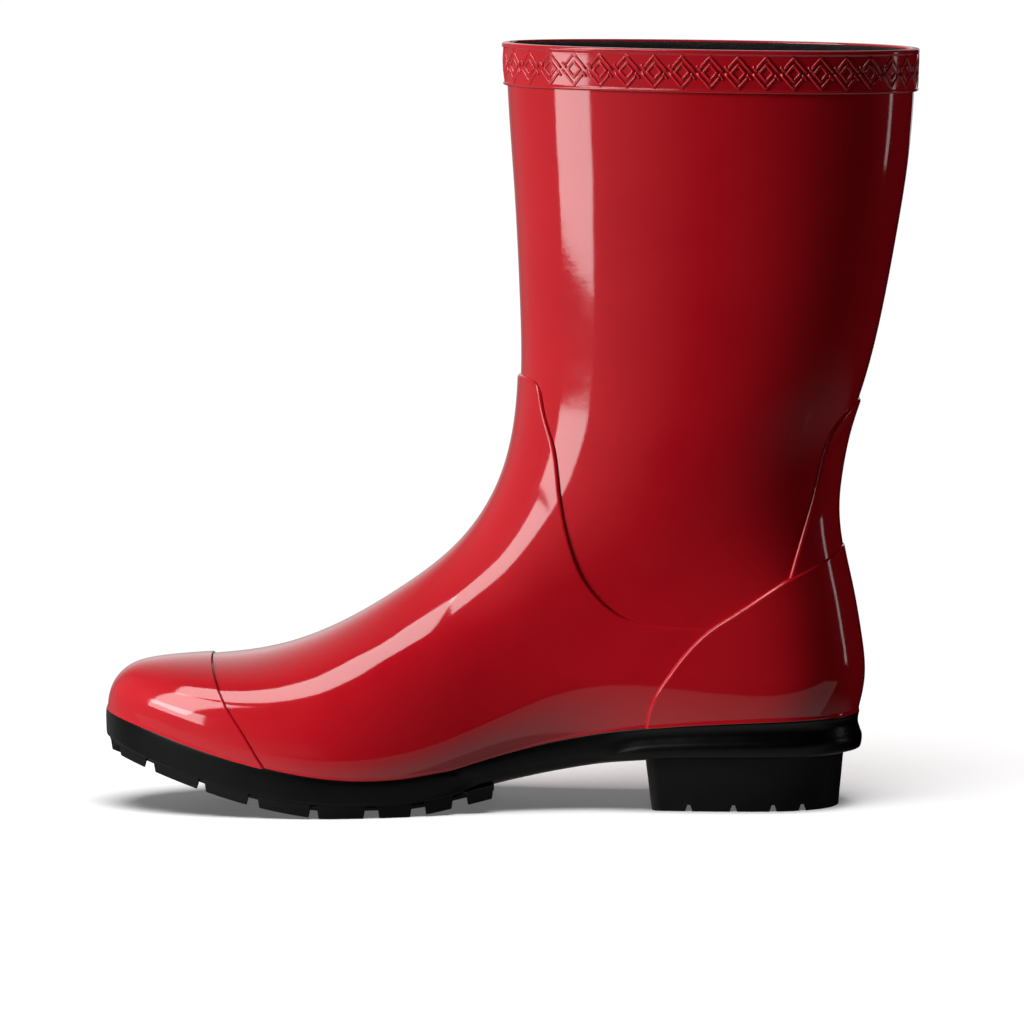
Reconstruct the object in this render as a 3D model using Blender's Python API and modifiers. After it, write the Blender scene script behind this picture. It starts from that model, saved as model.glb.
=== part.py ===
"""A short rubber rain boot for the right foot, as the separate pieces that it is laid up from.

Lengths in the tables are millimetres. Before a mesh is made, they are turned into metres and moved so that
the origin lies on the floor under the middle of the boot's box. +X runs from toe to heel, -Y is the inner
(medial) side of the foot, +Y the outer (lateral) side, and +Z is up.

Every wall of the boot lies on one reference surface. A point on it has an angle and a level. The angle runs
round the boot: 0 at the back, pi / 2 on the medial side, pi at the front, 3 pi / 2 on the lateral side. The
level is 0 on the feather line, where the upper meets the sole, and 1 at the rim of the leg.
"""

import math

import bmesh
import bpy
import numpy as np

MM = 0.001
BOX_CENTRE = (9.326, 0.918)  # X and Y of the middle of the boot's box, in the tables' own frame

# Side view of the reference surface: X, Z. Both lists start on the feather line and end at the rim.
FRONT_PROFILE = [
    (-136.2, 35.6), (-134.6, 43.4), (-129.4, 49.4), (-119.5, 52.4), (-106.0, 53.6), (-91.5, 54.6),
    (-75.0, 57.2), (-53.4, 65.0), (-31.0, 77.9), (-9.0, 95.4), (5.6, 118.0), (12.2, 147.6),
    (12.4, 184.2), (10.4, 224.2), (8.0, 259.8), (7.2, 278.2),
]
BACK_PROFILE = [
    (134.6, 34.6), (136.9, 46.0), (135.8, 62.0), (132.6, 80.0), (129.2, 96.0), (128.0, 109.0),
    (129.3, 123.0), (132.4, 138.0), (136.9, 152.0), (143.6, 178.0), (149.2, 208.0), (153.2, 234.0),
    (155.3, 258.0), (156.0, 276.0),
]
# How far up each profile, in millimetres along it, the levels 0, 0.1, ... 1 lie.
FRONT_CLIMB = [0, 12, 27, 50, 80, 114, 152, 194, 240, 288]
BACK_CLIMB = [0, 6, 13, 22, 35, 53, 79, 114, 156, 200]

# Height of the feather line and of the undersides, along X.
FEATHER_HEIGHT = [
    (-136.2, 35.6), (-122.0, 31.2), (-101.0, 24.2), (-79.0, 18.4), (-58.0, 14.7), (-40.0, 13.7),
    (-20.0, 15.4), (0.0, 20.0), (20.0, 25.0), (45.0, 29.6), (75.0, 32.6), (105.0, 34.0), (134.6, 34.6),
]
SOLE_UNDERSIDE = [
    (-140.0, 27.0), (-123.0, 20.4), (-105.0, 14.4), (-90.0, 10.2), (-75.0, 7.0), (-60.0, 5.2), (-43.0, 4.6),
    (-27.0, 5.2), (-12.0, 7.2), (3.0, 10.4), (28.0, 15.4), (56.0, 19.2), (90.0, 20.2), (140.0, 20.6),
]
TREAD_UNDERSIDE = [
    (-140.0, 22.5), (-123.0, 16.4), (-105.0, 10.3), (-90.0, 5.9), (-75.0, 2.5), (-61.0, 0.3), (-58.0, 0.0),
    (-28.0, 0.0), (-25.0, 0.25), (-12.0, 2.4), (3.0, 5.6), (10.0, 7.4),
]

# Plan of the feather line, from the toe to the heel: X, Y.
LATERAL_OUTLINE = [
    (-136.2, -6.0), (-131.0, 8.5), (-120.0, 20.5), (-104.0, 31.0), (-84.0, 39.5), (-62.0, 44.6),
    (-40.0, 46.0), (-15.0, 43.4), (15.0, 37.6), (45.0, 33.4), (75.0, 31.8), (100.0, 31.0), (118.0, 26.8),
    (130.0, 16.6),
]
MEDIAL_OUTLINE = [
    (134.6, 0.0), (129.6, -17.2), (116.0, -28.2), (95.0, -31.2), (70.0, -29.6), (45.0, -26.8), (22.0, -26.6),
    (0.0, -30.4), (-22.0, -37.2), (-45.0, -43.0), (-65.0, -44.4), (-85.0, -42.0), (-105.0, -36.6),
    (-121.0, -29.0), (-132.0, -19.0),
]
RIDGE_OFFSET = [(-140.0, -6.0), (-100.0, -5.2), (-60.0, -3.4), (-20.0, -1.2), (20.0, 0.0), (160.0, 0.0)]

# How the side walls of the foot swell above the feather line: height of the widest point, and the share by
# which the wall is wider there.
MEDIAL_SWELL = [
    (-140, 8, 0.02), (-70, 9, 0.035), (-20, 17, 0.09), (25, 30, 0.20), (70, 22, 0.10), (140, 12, 0.05),
]
LATERAL_SWELL = [
    (-140, 8, 0.02), (-70, 9, 0.03), (-20, 12, 0.05), (25, 18, 0.08), (70, 16, 0.07), (140, 12, 0.05),
]
TOE_FULLNESS = 0.16

# Half width of the leg at the levels 0, 0.1, ... 1, and what makes its oval fuller and wider at the calf.
LEG_HALF_WIDTH = [33.0, 33.0, 33.2, 33.6, 34.4, 35.4, 36.8, 38.8, 41.4, 43.8, 45.4]
LEG_SQUARENESS = 0.025
LEG_CALF = 0.06
FOOT_ENDS, LEG_STARTS = 0.34, 0.76  # levels between which the foot's shape turns into the leg's
FEATHER_FADES = 0.5  # level at which the curve of the feather line has died away

# Seams, in side view: X, Z. They are the same on both sides of the boot.
VAMP_SEAM = [
    (12.3, 157.6), (18.6, 155.4), (21.0, 147.5), (24.8, 134.0), (26.8, 120.3), (28.7, 106.8), (31.0, 97.4),
    (35.6, 85.9), (43.0, 76.8), (50.5, 71.5), (58.0, 69.2), (65.5, 68.4), (81.5, 67.6),
]
COUNTER_SEAM = [
    (57.6, 30.5), (59.6, 40.0), (65.0, 49.6), (72.3, 59.3), (81.0, 67.6), (88.0, 72.2), (98.0, 78.6),
    (109.6, 85.8), (121.4, 91.4), (128.9, 95.6),
]
STAY_SEAM = [
    (109.6, 85.8), (114.2, 101.0), (119.6, 119.8), (122.0, 130.4), (126.0, 139.6), (130.6, 144.6),
    (136.0, 149.0),
]
CAP_SEAM = [
    (-99.4, 54.4), (-98.2, 50.0), (-95.6, 44.0), (-92.0, 37.8), (-86.4, 29.8), (-81.2, 21.6), (-79.0, 18.4),
]
SEAMS_MEET, STAY_STARTS = 4, 7  # points of the counter's seam where those of the vamp and the stay touch it
SOLE_CREST = 34.0  # a height above which the seams are clear of the sole
BAND_HEIGHT = 15.2
# The hidden edge of the leg, lapped under the vamp and the counter. The foot's own shell begins there.
LEG_EDGE = [
    (-30.0, 149.0), (8.0, 148.5), (12.5, 143.0), (15.5, 132.0), (18.0, 119.0), (20.0, 106.0), (23.0, 94.0),
    (28.5, 82.0), (37.0, 71.0), (47.0, 64.5), (57.0, 60.8), (66.0, 59.6), (78.0, 62.0), (92.0, 66.5),
    (104.0, 72.0), (116.0, 78.0), (128.0, 85.0), (137.0, 88.5), (170.0, 92.0),
]

# The layers of the wall, as distances out from the reference surface.
LAYER_GAP = 0.35
SHELL = 2.0
OVERLAY = {"vamp_overlay": 0.85, "toe_cap": 1.6, "heel_counter": 1.2, "back_stay": 0.7, "top_band": 1.0}
STIFFENER = 0.9
LINING = 1.5
FOOT_LINING_LEVELS, LEG_LINING_LEVELS = (0.012, 0.438), (0.442, 0.998)
LODGED = 4.6  # how far the upper reaches down into the sole
LODGED_LEAN = 0.25

# Underneath.
SOLE_PROUD = 2.3  # how far the sole's side wall stands out from the reference surface
SOLE_FLOOR = 1.6
SOCKET_GAP = 0.55
POCKET = (-22.0, 6.0)  # where the hollow for the filler begins, and where it is at its full depth
BOARD = 1.5
FOAM, FLEECE = 3.0, 1.3
STACK_GAP, COVER_GAP = 0.3, 0.05
SHANK_WIDTH, SHANK_THICKNESS = 14.0, 1.6
SHANK_END = 98.0
HEEL_BREAST = 58.0
HEEL_OUT = (-3.6, -5.5)  # how far the heel's top and its bottom lie out from the feather line in plan
HEEL_GROOVES = [73.7, 89.9, 104.3, 115.0]
HEEL_GROOVE_MOUTH, HEEL_GROOVE_ROOT, HEEL_GROOVE_DEPTH = 2.8, 1.0, 2.4
TREAD_END = 3.0
# Cross grooves of the tread: X of the middle, width.
TREAD_GROOVES = [
    (-121.6, 2.4), (-102.6, 1.8), (-83.9, 3.0), (-62.0, 2.0), (-41.2, 4.2), (-24.4, 4.2), (-9.4, 4.4),
]
FLAT_TREAD = np.array([-58.0, -28.0])  # between these the tread lies flat on the floor
GROOVE_DEPTH = 2.9
LONG_GROOVE_OFFSET, LONG_GROOVE_HALF_WIDTH = 15.0, 1.5
LONG_GROOVE_START = -112.0

AROUND = 56  # columns round the boot
ROWS = 24  # rows up it
LINING_ROWS = 9


# ---------------------------------------------------------------- curves


def spline(knots, values):
    """A function: the natural cubic spline through the values at the knots."""
    knots = np.asarray(knots, float)
    values = np.asarray(values, float)
    gaps = np.diff(knots)
    system = np.eye(len(knots))
    pull = np.zeros_like(values)
    for i in range(1, len(knots) - 1):
        system[i, i - 1 : i + 2] = gaps[i - 1], 2 * (gaps[i - 1] + gaps[i]), gaps[i]
        pull[i] = 6 * ((values[i + 1] - values[i]) / gaps[i] - (values[i] - values[i - 1]) / gaps[i - 1])
    bend = np.linalg.solve(system, pull)

    def at(where):
        where = np.asarray(where, float)
        i = np.clip(np.searchsorted(knots, where) - 1, 0, len(knots) - 2)
        span = gaps[i]
        after = (where - knots[i]) / span
        before = 1 - after
        if values.ndim > 1:
            span, after, before = span[..., None], after[..., None], before[..., None]
        curve = (before**3 - before) * bend[i] + (after**3 - after) * bend[i + 1]
        return before * values[i] + after * values[i + 1] + curve * span**2 / 6

    return at


def through(pairs):
    """A function of X: the spline through (X, value) pairs."""
    pairs = np.array(pairs, float)
    return spline(pairs[:, 0], pairs[:, 1])


def chord_lengths(points):
    steps = np.linalg.norm(np.diff(points, axis=0), axis=1)
    return np.concatenate([[0], np.cumsum(steps)])


def path(points):
    """(function, length): the spline through the points, by distance along them."""
    points = np.array(points, float)
    distances = chord_lengths(points)
    return spline(distances, points), distances[-1]


def outline_sides():
    """Dense X and Y along the lateral and the medial half of the feather line's plan, each with X rising."""
    loop = np.array(LATERAL_OUTLINE + MEDIAL_OUTLINE, float)
    count = len(loop)
    tripled = np.concatenate([loop, loop, loop, loop[:1]])
    distances = chord_lengths(tripled)
    curve = spline(distances, tripled)
    toe, heel, next_toe = distances[count], distances[count + len(LATERAL_OUTLINE)], distances[2 * count]
    lateral = curve(np.linspace(toe, heel, 1500))
    medial = curve(np.linspace(heel, next_toe, 1500))[::-1]
    return lateral, medial


front_curve, front_length = path(FRONT_PROFILE)
back_curve, back_length = path(BACK_PROFILE)
LEVELS = np.linspace(0, 1, 11)
front_climb = spline(LEVELS, FRONT_CLIMB + [front_length])
back_climb = spline(LEVELS, BACK_CLIMB + [back_length])
feather_height = through(FEATHER_HEIGHT)
sole_underside = through(SOLE_UNDERSIDE)
tread_spline = through(TREAD_UNDERSIDE)
ridge_offset = through(RIDGE_OFFSET)
leg_half_width = spline(LEVELS, LEG_HALF_WIDTH)
lateral_edge, medial_edge = outline_sides()
ridge_samples = front_curve(np.linspace(0, front_length, 4000))
STEEP_X = 3.0  # past this X the instep is so steep that its height is carried on by a parabola
STEEP_BEND = 0.08


def tread_underside(x):
    return np.clip(tread_spline(x), 0, None)


def swell(table, column):
    table = np.array(table, float)
    return spline(table[:, 0], table[:, column])


def smooth_step(value):
    value = np.clip(value, 0, 1)
    return value**3 * (value * (6 * value - 15) + 10)


def ridge_height(x):
    """Height of the top line of the foot over X, carried on upwards where the leg begins."""
    rising = ridge_samples[: np.argmax(ridge_samples[:, 0] > STEEP_X)]
    slope = (rising[-1, 1] - rising[-9, 1]) / (rising[-1, 0] - rising[-9, 0])
    beyond = np.clip(x - STEEP_X, 0, None)
    return np.interp(x, rising[:, 0], rising[:, 1]) + slope * beyond + STEEP_BEND * beyond**2


# ---------------------------------------------------------------- the reference surface


def side_point(share, level):
    """X and Z of the point at a share of the way from the back profile to the front one, at a level."""
    front = front_curve(front_climb(level))
    back = back_curve(back_climb(level))
    x = back[..., 0] + share * (front[..., 0] - back[..., 0])
    z = back[..., 1] + share * (front[..., 1] - back[..., 1])
    heel, toe = np.array(BACK_PROFILE[0]), np.array(FRONT_PROFILE[0])
    x_feather = heel[0] + share * (toe[0] - heel[0])
    dip = feather_height(x_feather) - (heel[1] + share * (toe[1] - heel[1]))
    return x, z + dip * np.clip(1 - level / FEATHER_FADES, 0, 1) ** 3


def foot_half_width(x, z, edge, table):
    """Distance of the foot's wall from its ridge line on one side. The edge is the feather line's in plan."""
    floor_width = np.abs(np.interp(x, edge[:, 0], edge[:, 1]) - ridge_offset(x))
    low = feather_height(x)
    height = np.clip(ridge_height(x) - low, 1e-6, None)
    nominal = swell(table, 1)(x)
    widest = 1 / (1 / nominal + 1 / (0.45 * height))
    gain = swell(table, 2)(x)
    above = np.clip((z - low - widest) / np.clip(height - widest, 1e-6, None), 0, 1)
    below = np.clip((widest - (z - low)) / np.clip(widest, 1e-6, None), 0, 1)
    crown = np.sqrt(1 - above**2) * (1 + TOE_FULLNESS * above**2)
    return floor_width * (1 + gain * (1 - below**2)) * crown


def surface(angle, level):
    """Points of the reference surface, in millimetres. Below level 0 it runs on down and in, a millimetre for
    each 0.01 of level."""
    angle, level = np.broadcast_arrays(np.asarray(angle, float), np.asarray(level, float))
    lodged = np.clip(-level, 0, None) * 100
    level = np.clip(level, 0, 1)
    share = (1 - np.cos(angle)) / 2
    x, z = side_point(share, level)
    heel_shift = BACK_PROFILE[0][0] - back_curve(back_climb(level))[..., 0]
    plan_x = x + heel_shift * (1 - share) ** 3
    medial = np.sin(angle) >= 0
    foot = np.where(
        medial,
        foot_half_width(plan_x, z, medial_edge, MEDIAL_SWELL),
        foot_half_width(plan_x, z, lateral_edge, LATERAL_SWELL),
    )
    across = np.abs(np.sin(angle))
    oval = across + LEG_SQUARENESS * np.abs(np.sin(3 * angle)) * np.sign(np.sin(3 * np.arcsin(across)))
    leg = leg_half_width(level) * oval / (1 - LEG_SQUARENESS) * (1 + LEG_CALF * np.cos(angle))
    turning = smooth_step((level - FOOT_ENDS) / (LEG_STARTS - FOOT_ENDS))
    half = foot * (1 - turning) + leg * turning
    y = ridge_offset(plan_x) * (1 - turning) + np.where(medial, -half, half)
    lean = lodged * LODGED_LEAN
    return np.stack([x - lean * np.cos(angle), y + lean * np.sin(angle), z - lodged], -1)


def outward(angle, level):
    """Unit normals of the reference surface."""
    turn, climb = 0.02, 0.002
    high = np.minimum(level + climb, 1.0)
    low = high - 2 * climb
    along = surface(angle + turn, level) - surface(angle - turn, level)
    up = surface(angle, high) - surface(angle, low)
    normal = np.cross(up, along)
    return normal / np.linalg.norm(normal, axis=-1, keepdims=True)


def wall(angle, level, out):
    """Points at a distance out from the reference surface."""
    return surface(angle, level) + outward(angle, level) * out


# ---------------------------------------------------------------- the feather line in plan


def plan_ring(out, height, count=None):
    """The feather line moved out in plan, at the height that a function of X gives."""
    angle = np.linspace(0, 2 * math.pi, count or AROUND, endpoint=False)
    ring = surface(angle, 0.0)
    along = surface(angle + 0.01, 0.0) - surface(angle - 0.01, 0.0)
    normal = np.stack([-along[:, 1], along[:, 0]], -1)
    normal /= np.linalg.norm(normal, axis=-1, keepdims=True)
    plan = ring[:, :2] + normal * out
    return np.column_stack([plan, height(plan[:, 0])])


def plan_sides(out):
    """(medial, lateral, reach): a function from X to Y for each side of the moved feather line, and the least
    and the most X on it."""
    ring = plan_ring(out, np.zeros_like, 720)
    medial, lateral = ring[:361], np.concatenate([ring[360:], ring[:1]])

    def medial_y(x):
        return np.interp(-x, -medial[:, 0], medial[:, 1])

    def lateral_y(x):
        return np.interp(x, lateral[:, 0], lateral[:, 1])

    return medial_y, lateral_y, (ring[:, 0].min(), ring[:, 0].max())


def stations(low, high):
    """X of the sections of a plate: closest together at its ends."""
    turn = np.linspace(0, math.pi, AROUND // 2 + 1)
    toe, heel = FRONT_PROFILE[0][0], BACK_PROFILE[0][0]
    shared = (toe + heel) / 2 - (heel - toe) / 2 * np.cos(turn)
    shared = np.array([x for x in shared if np.abs(FLAT_TREAD - x).min() > 3])
    shared = np.sort(np.concatenate([shared, FLAT_TREAD]))
    inside = shared[(shared > low + 1.5) & (shared < high - 1.5)]
    return np.concatenate([[low], inside, [high]])


def board_top(x):
    return feather_height(x) - LODGED - STACK_GAP


def board_underside(x):
    return board_top(x) - BOARD


def shank_top(x):
    return board_underside(x) - 2 * STACK_GAP


def foam_underside(x):
    return board_top(x) + STACK_GAP


def cover_underside(x):
    return foam_underside(x) + FOAM + COVER_GAP


def tread_top(x):
    return sole_underside(x) - STACK_GAP


def floor_level(x):
    return 0.0 * x


def sole_floor(x):
    """Height of the floor inside the sole: just under the board at the front, deeper under the filler."""
    shallow = board_underside(x) - STACK_GAP
    depth = shallow - sole_underside(x) - SOLE_FLOOR
    return shallow - depth * smooth_step((x - POCKET[0]) / (POCKET[1] - POCKET[0]))


# ---------------------------------------------------------------- objects


def collection(name):
    made = bpy.data.collections.new(name)
    bpy.context.scene.collection.children.link(made)
    return made


def material(name, colour, roughness, metallic=0.0):
    made = bpy.data.materials.new(name)
    made.use_nodes = True
    shader = made.node_tree.nodes["Principled BSDF"]
    shader.inputs["Base Color"].default_value = (*colour, 1)
    shader.inputs["Roughness"].default_value = roughness
    shader.inputs["Metallic"].default_value = metallic
    made.diffuse_color = (*colour, 1)
    return made


def metres(points):
    points = np.asarray(points, float)
    return (points - np.array([*BOX_CENTRE, 0.0])) * MM


def add_mesh(name, points, faces, group, look=None):
    mesh = bpy.data.meshes.new(name)
    mesh.from_pydata(metres(points).tolist(), [], faces)
    mesh.validate()
    made = bpy.data.objects.new(name, mesh)
    group.objects.link(made)
    if look:
        mesh.materials.append(look)
    return made


def face_out(piece):
    work = bmesh.new()
    work.from_mesh(piece.data)
    bmesh.ops.recalc_face_normals(work, faces=work.faces)
    work.to_mesh(piece.data)
    work.free()


def add_sheet(name, rows, group, look):
    """An open sleeve through rings of points, listed from the lowest up. It faces out."""
    around = len(rows[0])
    faces = []
    for j in range(len(rows) - 1):
        for i in range(around):
            k = (i + 1) % around
            faces.append((j * around + k, j * around + i, (j + 1) * around + i, (j + 1) * around + k))
    return add_mesh(name, np.concatenate(rows), faces, group, look)


def ladder(start, around, upward):
    """Faces that close a ring of points, rung by rung from its heel to its toe."""
    faces = []
    for i in range(around // 2):
        a, b = start + i, start + i + 1
        c, d = start + around - i - 1, start + (around - i) % around
        face = [a, b, c] if a == d else [a, b, d] if b == c else [a, b, c, d]
        faces.append(tuple(face if upward else face[::-1]))
    return faces


def add_loft(name, rings, group, look):
    """A closed body through rings, with rungs across the first and the last."""
    around = len(rings[0])
    faces = ladder(0, around, True)
    for j in range(len(rings) - 1):
        for i in range(around):
            k = (i + 1) % around
            faces.append((j * around + i, j * around + k, (j + 1) * around + k, (j + 1) * around + i))
    faces += ladder((len(rings) - 1) * around, around, False)
    made = add_mesh(name, np.concatenate(rings), faces, group, look)
    face_out(made)
    return made


def add_bar(name, sections, group, look):
    """A closed body through four-cornered sections."""
    faces = [(0, 1, 2, 3)]
    for j in range(len(sections) - 1):
        for i in range(4):
            k = (i + 1) % 4
            faces.append((4 * j + i, 4 * j + k, 4 * j + 4 + k, 4 * j + 4 + i))
    last = 4 * len(sections) - 4
    faces.append((last + 3, last + 2, last + 1, last))
    made = add_mesh(name, np.concatenate(sections), faces, group, look)
    face_out(made)
    return made


def add_plate(name, group, look, out, low, high, span=(None, None), out_low=None):
    """A plate inside the moved feather line, between two heights that are functions of X."""
    top_medial, top_lateral, reach = plan_sides(out)
    low_medial, low_lateral, low_reach = plan_sides(out if out_low is None else out_low)
    start = max(reach[0], low_reach[0]) + 0.4 if span[0] is None else span[0]
    end = min(reach[1], low_reach[1]) - 0.4 if span[1] is None else span[1]
    sections = []
    for x in stations(start, end):
        sections.append([
            (x, low_medial(x), low(x)),
            (x, low_lateral(x), low(x)),
            (x, top_lateral(x), high(x)),
            (x, top_medial(x), high(x)),
        ])
    return add_bar(name, sections, group, look)


def add_prism(name, outline, group, half_depth=80.0):
    """A cutter: an outline in side view, carried right across the boot."""
    work = bmesh.new()
    corners = [work.verts.new(metres((x, -half_depth, z)).tolist()) for x, z in outline]
    face = work.faces.new(corners)
    grown = bmesh.ops.extrude_face_region(work, geom=[face])
    moved = [item for item in grown["geom"] if isinstance(item, bmesh.types.BMVert)]
    bmesh.ops.translate(work, verts=moved, vec=(0, 2 * half_depth * MM, 0))
    bmesh.ops.recalc_face_normals(work, faces=work.faces)
    mesh = bpy.data.meshes.new(name)
    work.to_mesh(mesh)
    work.free()
    made = bpy.data.objects.new(name, mesh)
    group.objects.link(made)
    return hidden(made)


def hidden(cutter):
    cutter.hide_render = True
    cutter.display_type = "WIRE"
    return cutter


def cut(piece, cutter, operation):
    step = piece.modifiers.new(cutter.name, "BOOLEAN")
    step.operation = operation
    step.object = cutter
    step.solver = "EXACT"


def thicken(piece, thickness, side):
    """Side 1 grows the sheet outwards, -1 inwards."""
    step = piece.modifiers.new("thickness", "SOLIDIFY")
    step.thickness = thickness * MM
    step.offset = side
    step.use_even_offset = True


# ---------------------------------------------------------------- the layers of the wall


def sleeve(name, group, look, out, thickness, side, levels):
    """A sleeve right round the boot, at a distance out from the reference surface."""
    angle = np.linspace(0, 2 * math.pi, AROUND, endpoint=False)
    rows = [wall(angle, np.full(AROUND, level), out) for level in levels]
    made = add_sheet(name, rows, group, look)
    thicken(made, thickness, side)
    return made


def beside(line, distance):
    """A polyline moved to its left (plus) or its right (minus)."""
    line = np.array(line, float)
    along = np.gradient(line, axis=0)
    along /= np.linalg.norm(along, axis=1, keepdims=True)
    return line + np.column_stack([-along[:, 1], along[:, 0]]) * distance


def above_feather(start, end):
    """The bottom edge of an overlay, just clear of the sole."""
    x = stations(start, end)
    return np.column_stack([x, feather_height(x) + STACK_GAP])


def meets_feather(line):
    """X at which a seam that drops with rising X reaches the overlays' bottom edge."""
    height = line[:, 1] - feather_height(line[:, 0]) - STACK_GAP
    return np.interp(0, height[::-1], line[::-1, 0])


def rises_from_feather(line):
    """X at which a seam that climbs with rising X leaves the overlays' bottom edge."""
    line = line[:4]
    return np.interp(0, line[:, 1] - feather_height(line[:, 0]) - STACK_GAP, line[:, 0])


def cap_region(seam):
    edge = beside(seam, -LAYER_GAP / 2)
    end = meets_feather(edge)
    return [(-160.0, 75.0), *edge[edge[:, 0] < end], *above_feather(-160.0, end)[::-1]]


def vamp_region(cap_seam, counter_seam):
    left = beside(cap_seam, LAYER_GAP / 2)
    start = meets_feather(left)
    right = beside(counter_seam, LAYER_GAP / 2)
    end = rises_from_feather(right)
    line = [(-40.0, 157.6), (0.0, 158.0)] + VAMP_SEAM[:-1] + [COUNTER_SEAM[SEAMS_MEET]]
    top = beside(line, -LAYER_GAP / 2)[::-1][1:]
    left = left[left[:, 0] < start]
    right = right[right[:, 1] > SOLE_CREST][:SEAMS_MEET]
    return [*left, *above_feather(start, end), *right, *top, (-90.0, 157.6)]


def counter_region(seam):
    edge = beside(seam, -LAYER_GAP / 2)
    bottom = above_feather(rises_from_feather(edge), 160.0)
    return [*edge[edge[:, 1] > SOLE_CREST], (160.0, 60.0), *bottom[::-1]]


def stay_region(counter_seam):
    edge = beside(STAY_SEAM + [(150.0, 157.0)], -LAYER_GAP / 2)
    under = beside(counter_seam, LAYER_GAP / 2)[STAY_STARTS + 2 :]
    return [*edge, (160.0, 107.0), *under[::-1]]


def band_region():
    (front_x, front_z), (back_x, back_z) = FRONT_PROFILE[-1], BACK_PROFILE[-1]
    return [
        (front_x - 30, front_z - BAND_HEIGHT), (back_x + 30, back_z - BAND_HEIGHT),
        (back_x + 30, back_z + 30), (front_x - 30, front_z + 30),
    ]


def seam_regions():
    """Side-view outline of each overlay."""
    cap_seam = [(-99.8, 75.0)] + CAP_SEAM + [(-77.5, 15.0)]
    counter_seam = [(56.6, 22.0)] + COUNTER_SEAM + [(150.0, 103.5)]
    return {
        "toe_cap": cap_region(cap_seam),
        "vamp_overlay": vamp_region(cap_seam, counter_seam),
        "heel_counter": counter_region(counter_seam),
        "back_stay": stay_region(counter_seam),
        "top_band": band_region(),
    }


def add_upper(group, cutters, looks):
    levels = np.linspace(0, 1, ROWS)
    full = np.concatenate([[-LODGED / 100], levels])
    leg_edge = beside(LEG_EDGE, STACK_GAP / 2)
    foot_edge = beside(LEG_EDGE, -STACK_GAP / 2)
    leg = sleeve("leg_shell", group, looks["leg_shell"], 0.0, SHELL, -1, levels[5:])
    above = [*leg_edge, (170.0, 300.0), (-30.0, 300.0)]
    cut(leg, add_prism("outline_of_leg_shell", above, cutters), "INTERSECT")
    foot = sleeve("foot_shell", group, looks["foot_shell"], 0.0, SHELL, -1, full[:20])
    below = [*foot_edge, (170.0, -20.0), (-160.0, -20.0), (-160.0, 149.0)]
    cut(foot, add_prism("outline_of_foot_shell", below, cutters), "INTERSECT")
    for name, outline in seam_regions().items():
        rows = levels if name != "top_band" else levels[-4:]
        made = sleeve(name, group, looks[name], LAYER_GAP, OVERLAY[name], 1, rows)
        cut(made, add_prism("outline_of_" + name, outline, cutters), "INTERSECT")


def add_inner_layers(group, cutters, looks):
    levels = np.linspace(0, 1, ROWS)
    out = -SHELL - STACK_GAP
    puff = sleeve("toe_puff", group, looks["toe_puff"], out, STIFFENER, -1, levels[1:12])
    box = [(-160.0, 90.0), (-84.0, 90.0), (-76.0, 10.0), (-160.0, 10.0)]
    cut(puff, add_prism("outline_of_toe_puff", box, cutters), "INTERSECT")
    cup = sleeve("heel_stiffener", group, looks["heel_stiffener"], out, STIFFENER, -1, levels[1:12])
    box = [(66.0, 10.0), (70.0, 50.0), (96.0, 76.0), (122.0, 88.0), (160.0, 92.0), (160.0, 10.0)]
    cut(cup, add_prism("outline_of_heel_stiffener", box, cutters), "INTERSECT")
    out = -SHELL - STIFFENER - 2 * STACK_GAP
    foot = np.linspace(*FOOT_LINING_LEVELS, LINING_ROWS)
    sleeve("foot_lining", group, looks["lining"], out, LINING, -1, foot)
    leg = np.linspace(*LEG_LINING_LEVELS, LINING_ROWS)
    sleeve("leg_lining", group, looks["leg_lining"], out, LINING, -1, leg)


# ---------------------------------------------------------------- underneath


def add_outsole(group, looks):
    proud, gap = SOLE_PROUD, STACK_GAP
    lean = LODGED_LEAN * (LODGED + gap)
    rings = [
        plan_ring(proud - 1.6, sole_underside),
        plan_ring(proud - 0.6, lambda x: sole_underside(x) + 1.0),
        plan_ring(proud + 0.2, lambda x: (sole_underside(x) + feather_height(x)) / 2),
        plan_ring(proud, lambda x: feather_height(x) - 0.7),
        plan_ring(proud - 0.6, feather_height),
        plan_ring(SOCKET_GAP, feather_height),
        plan_ring(SOCKET_GAP - lean, lambda x: feather_height(x) - LODGED - gap),
        plan_ring(SOCKET_GAP - lean - 0.3, sole_floor),
    ]
    return add_loft("outsole", rings, group, looks["outsole"])


def add_tread(group, cutters, looks):
    tread = add_plate(
        "forefoot_tread", group, looks["forefoot_tread"], SOLE_PROUD - 0.8, tread_underside, tread_top,
        (None, TREAD_END), SOLE_PROUD - 1.8,
    )
    for i, (x, width) in enumerate(TREAD_GROOVES):
        toe, heel = x - width / 2, x + width / 2
        toe_floor = tread_underside(toe) + GROOVE_DEPTH
        heel_floor = tread_underside(heel) + GROOVE_DEPTH
        outline = [(toe, toe_floor - 20), (heel, heel_floor - 20), (heel, heel_floor), (toe, toe_floor)]
        cut(tread, add_prism(f"tread_groove_{i}", outline, cutters), "DIFFERENCE")
    for i, y in enumerate((-LONG_GROOVE_OFFSET, LONG_GROOVE_OFFSET)):
        near, far = y - LONG_GROOVE_HALF_WIDTH, y + LONG_GROOVE_HALF_WIDTH
        sections = []
        for x in stations(LONG_GROOVE_START, TREAD_END + 6):
            floor = tread_underside(x) + GROOVE_DEPTH - 0.4
            sections.append([(x, near, floor - 20), (x, far, floor - 20), (x, far, floor), (x, near, floor)])
        slot = add_bar(f"tread_long_groove_{i}", sections, cutters, None)
        cut(tread, hidden(slot), "DIFFERENCE")


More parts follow.
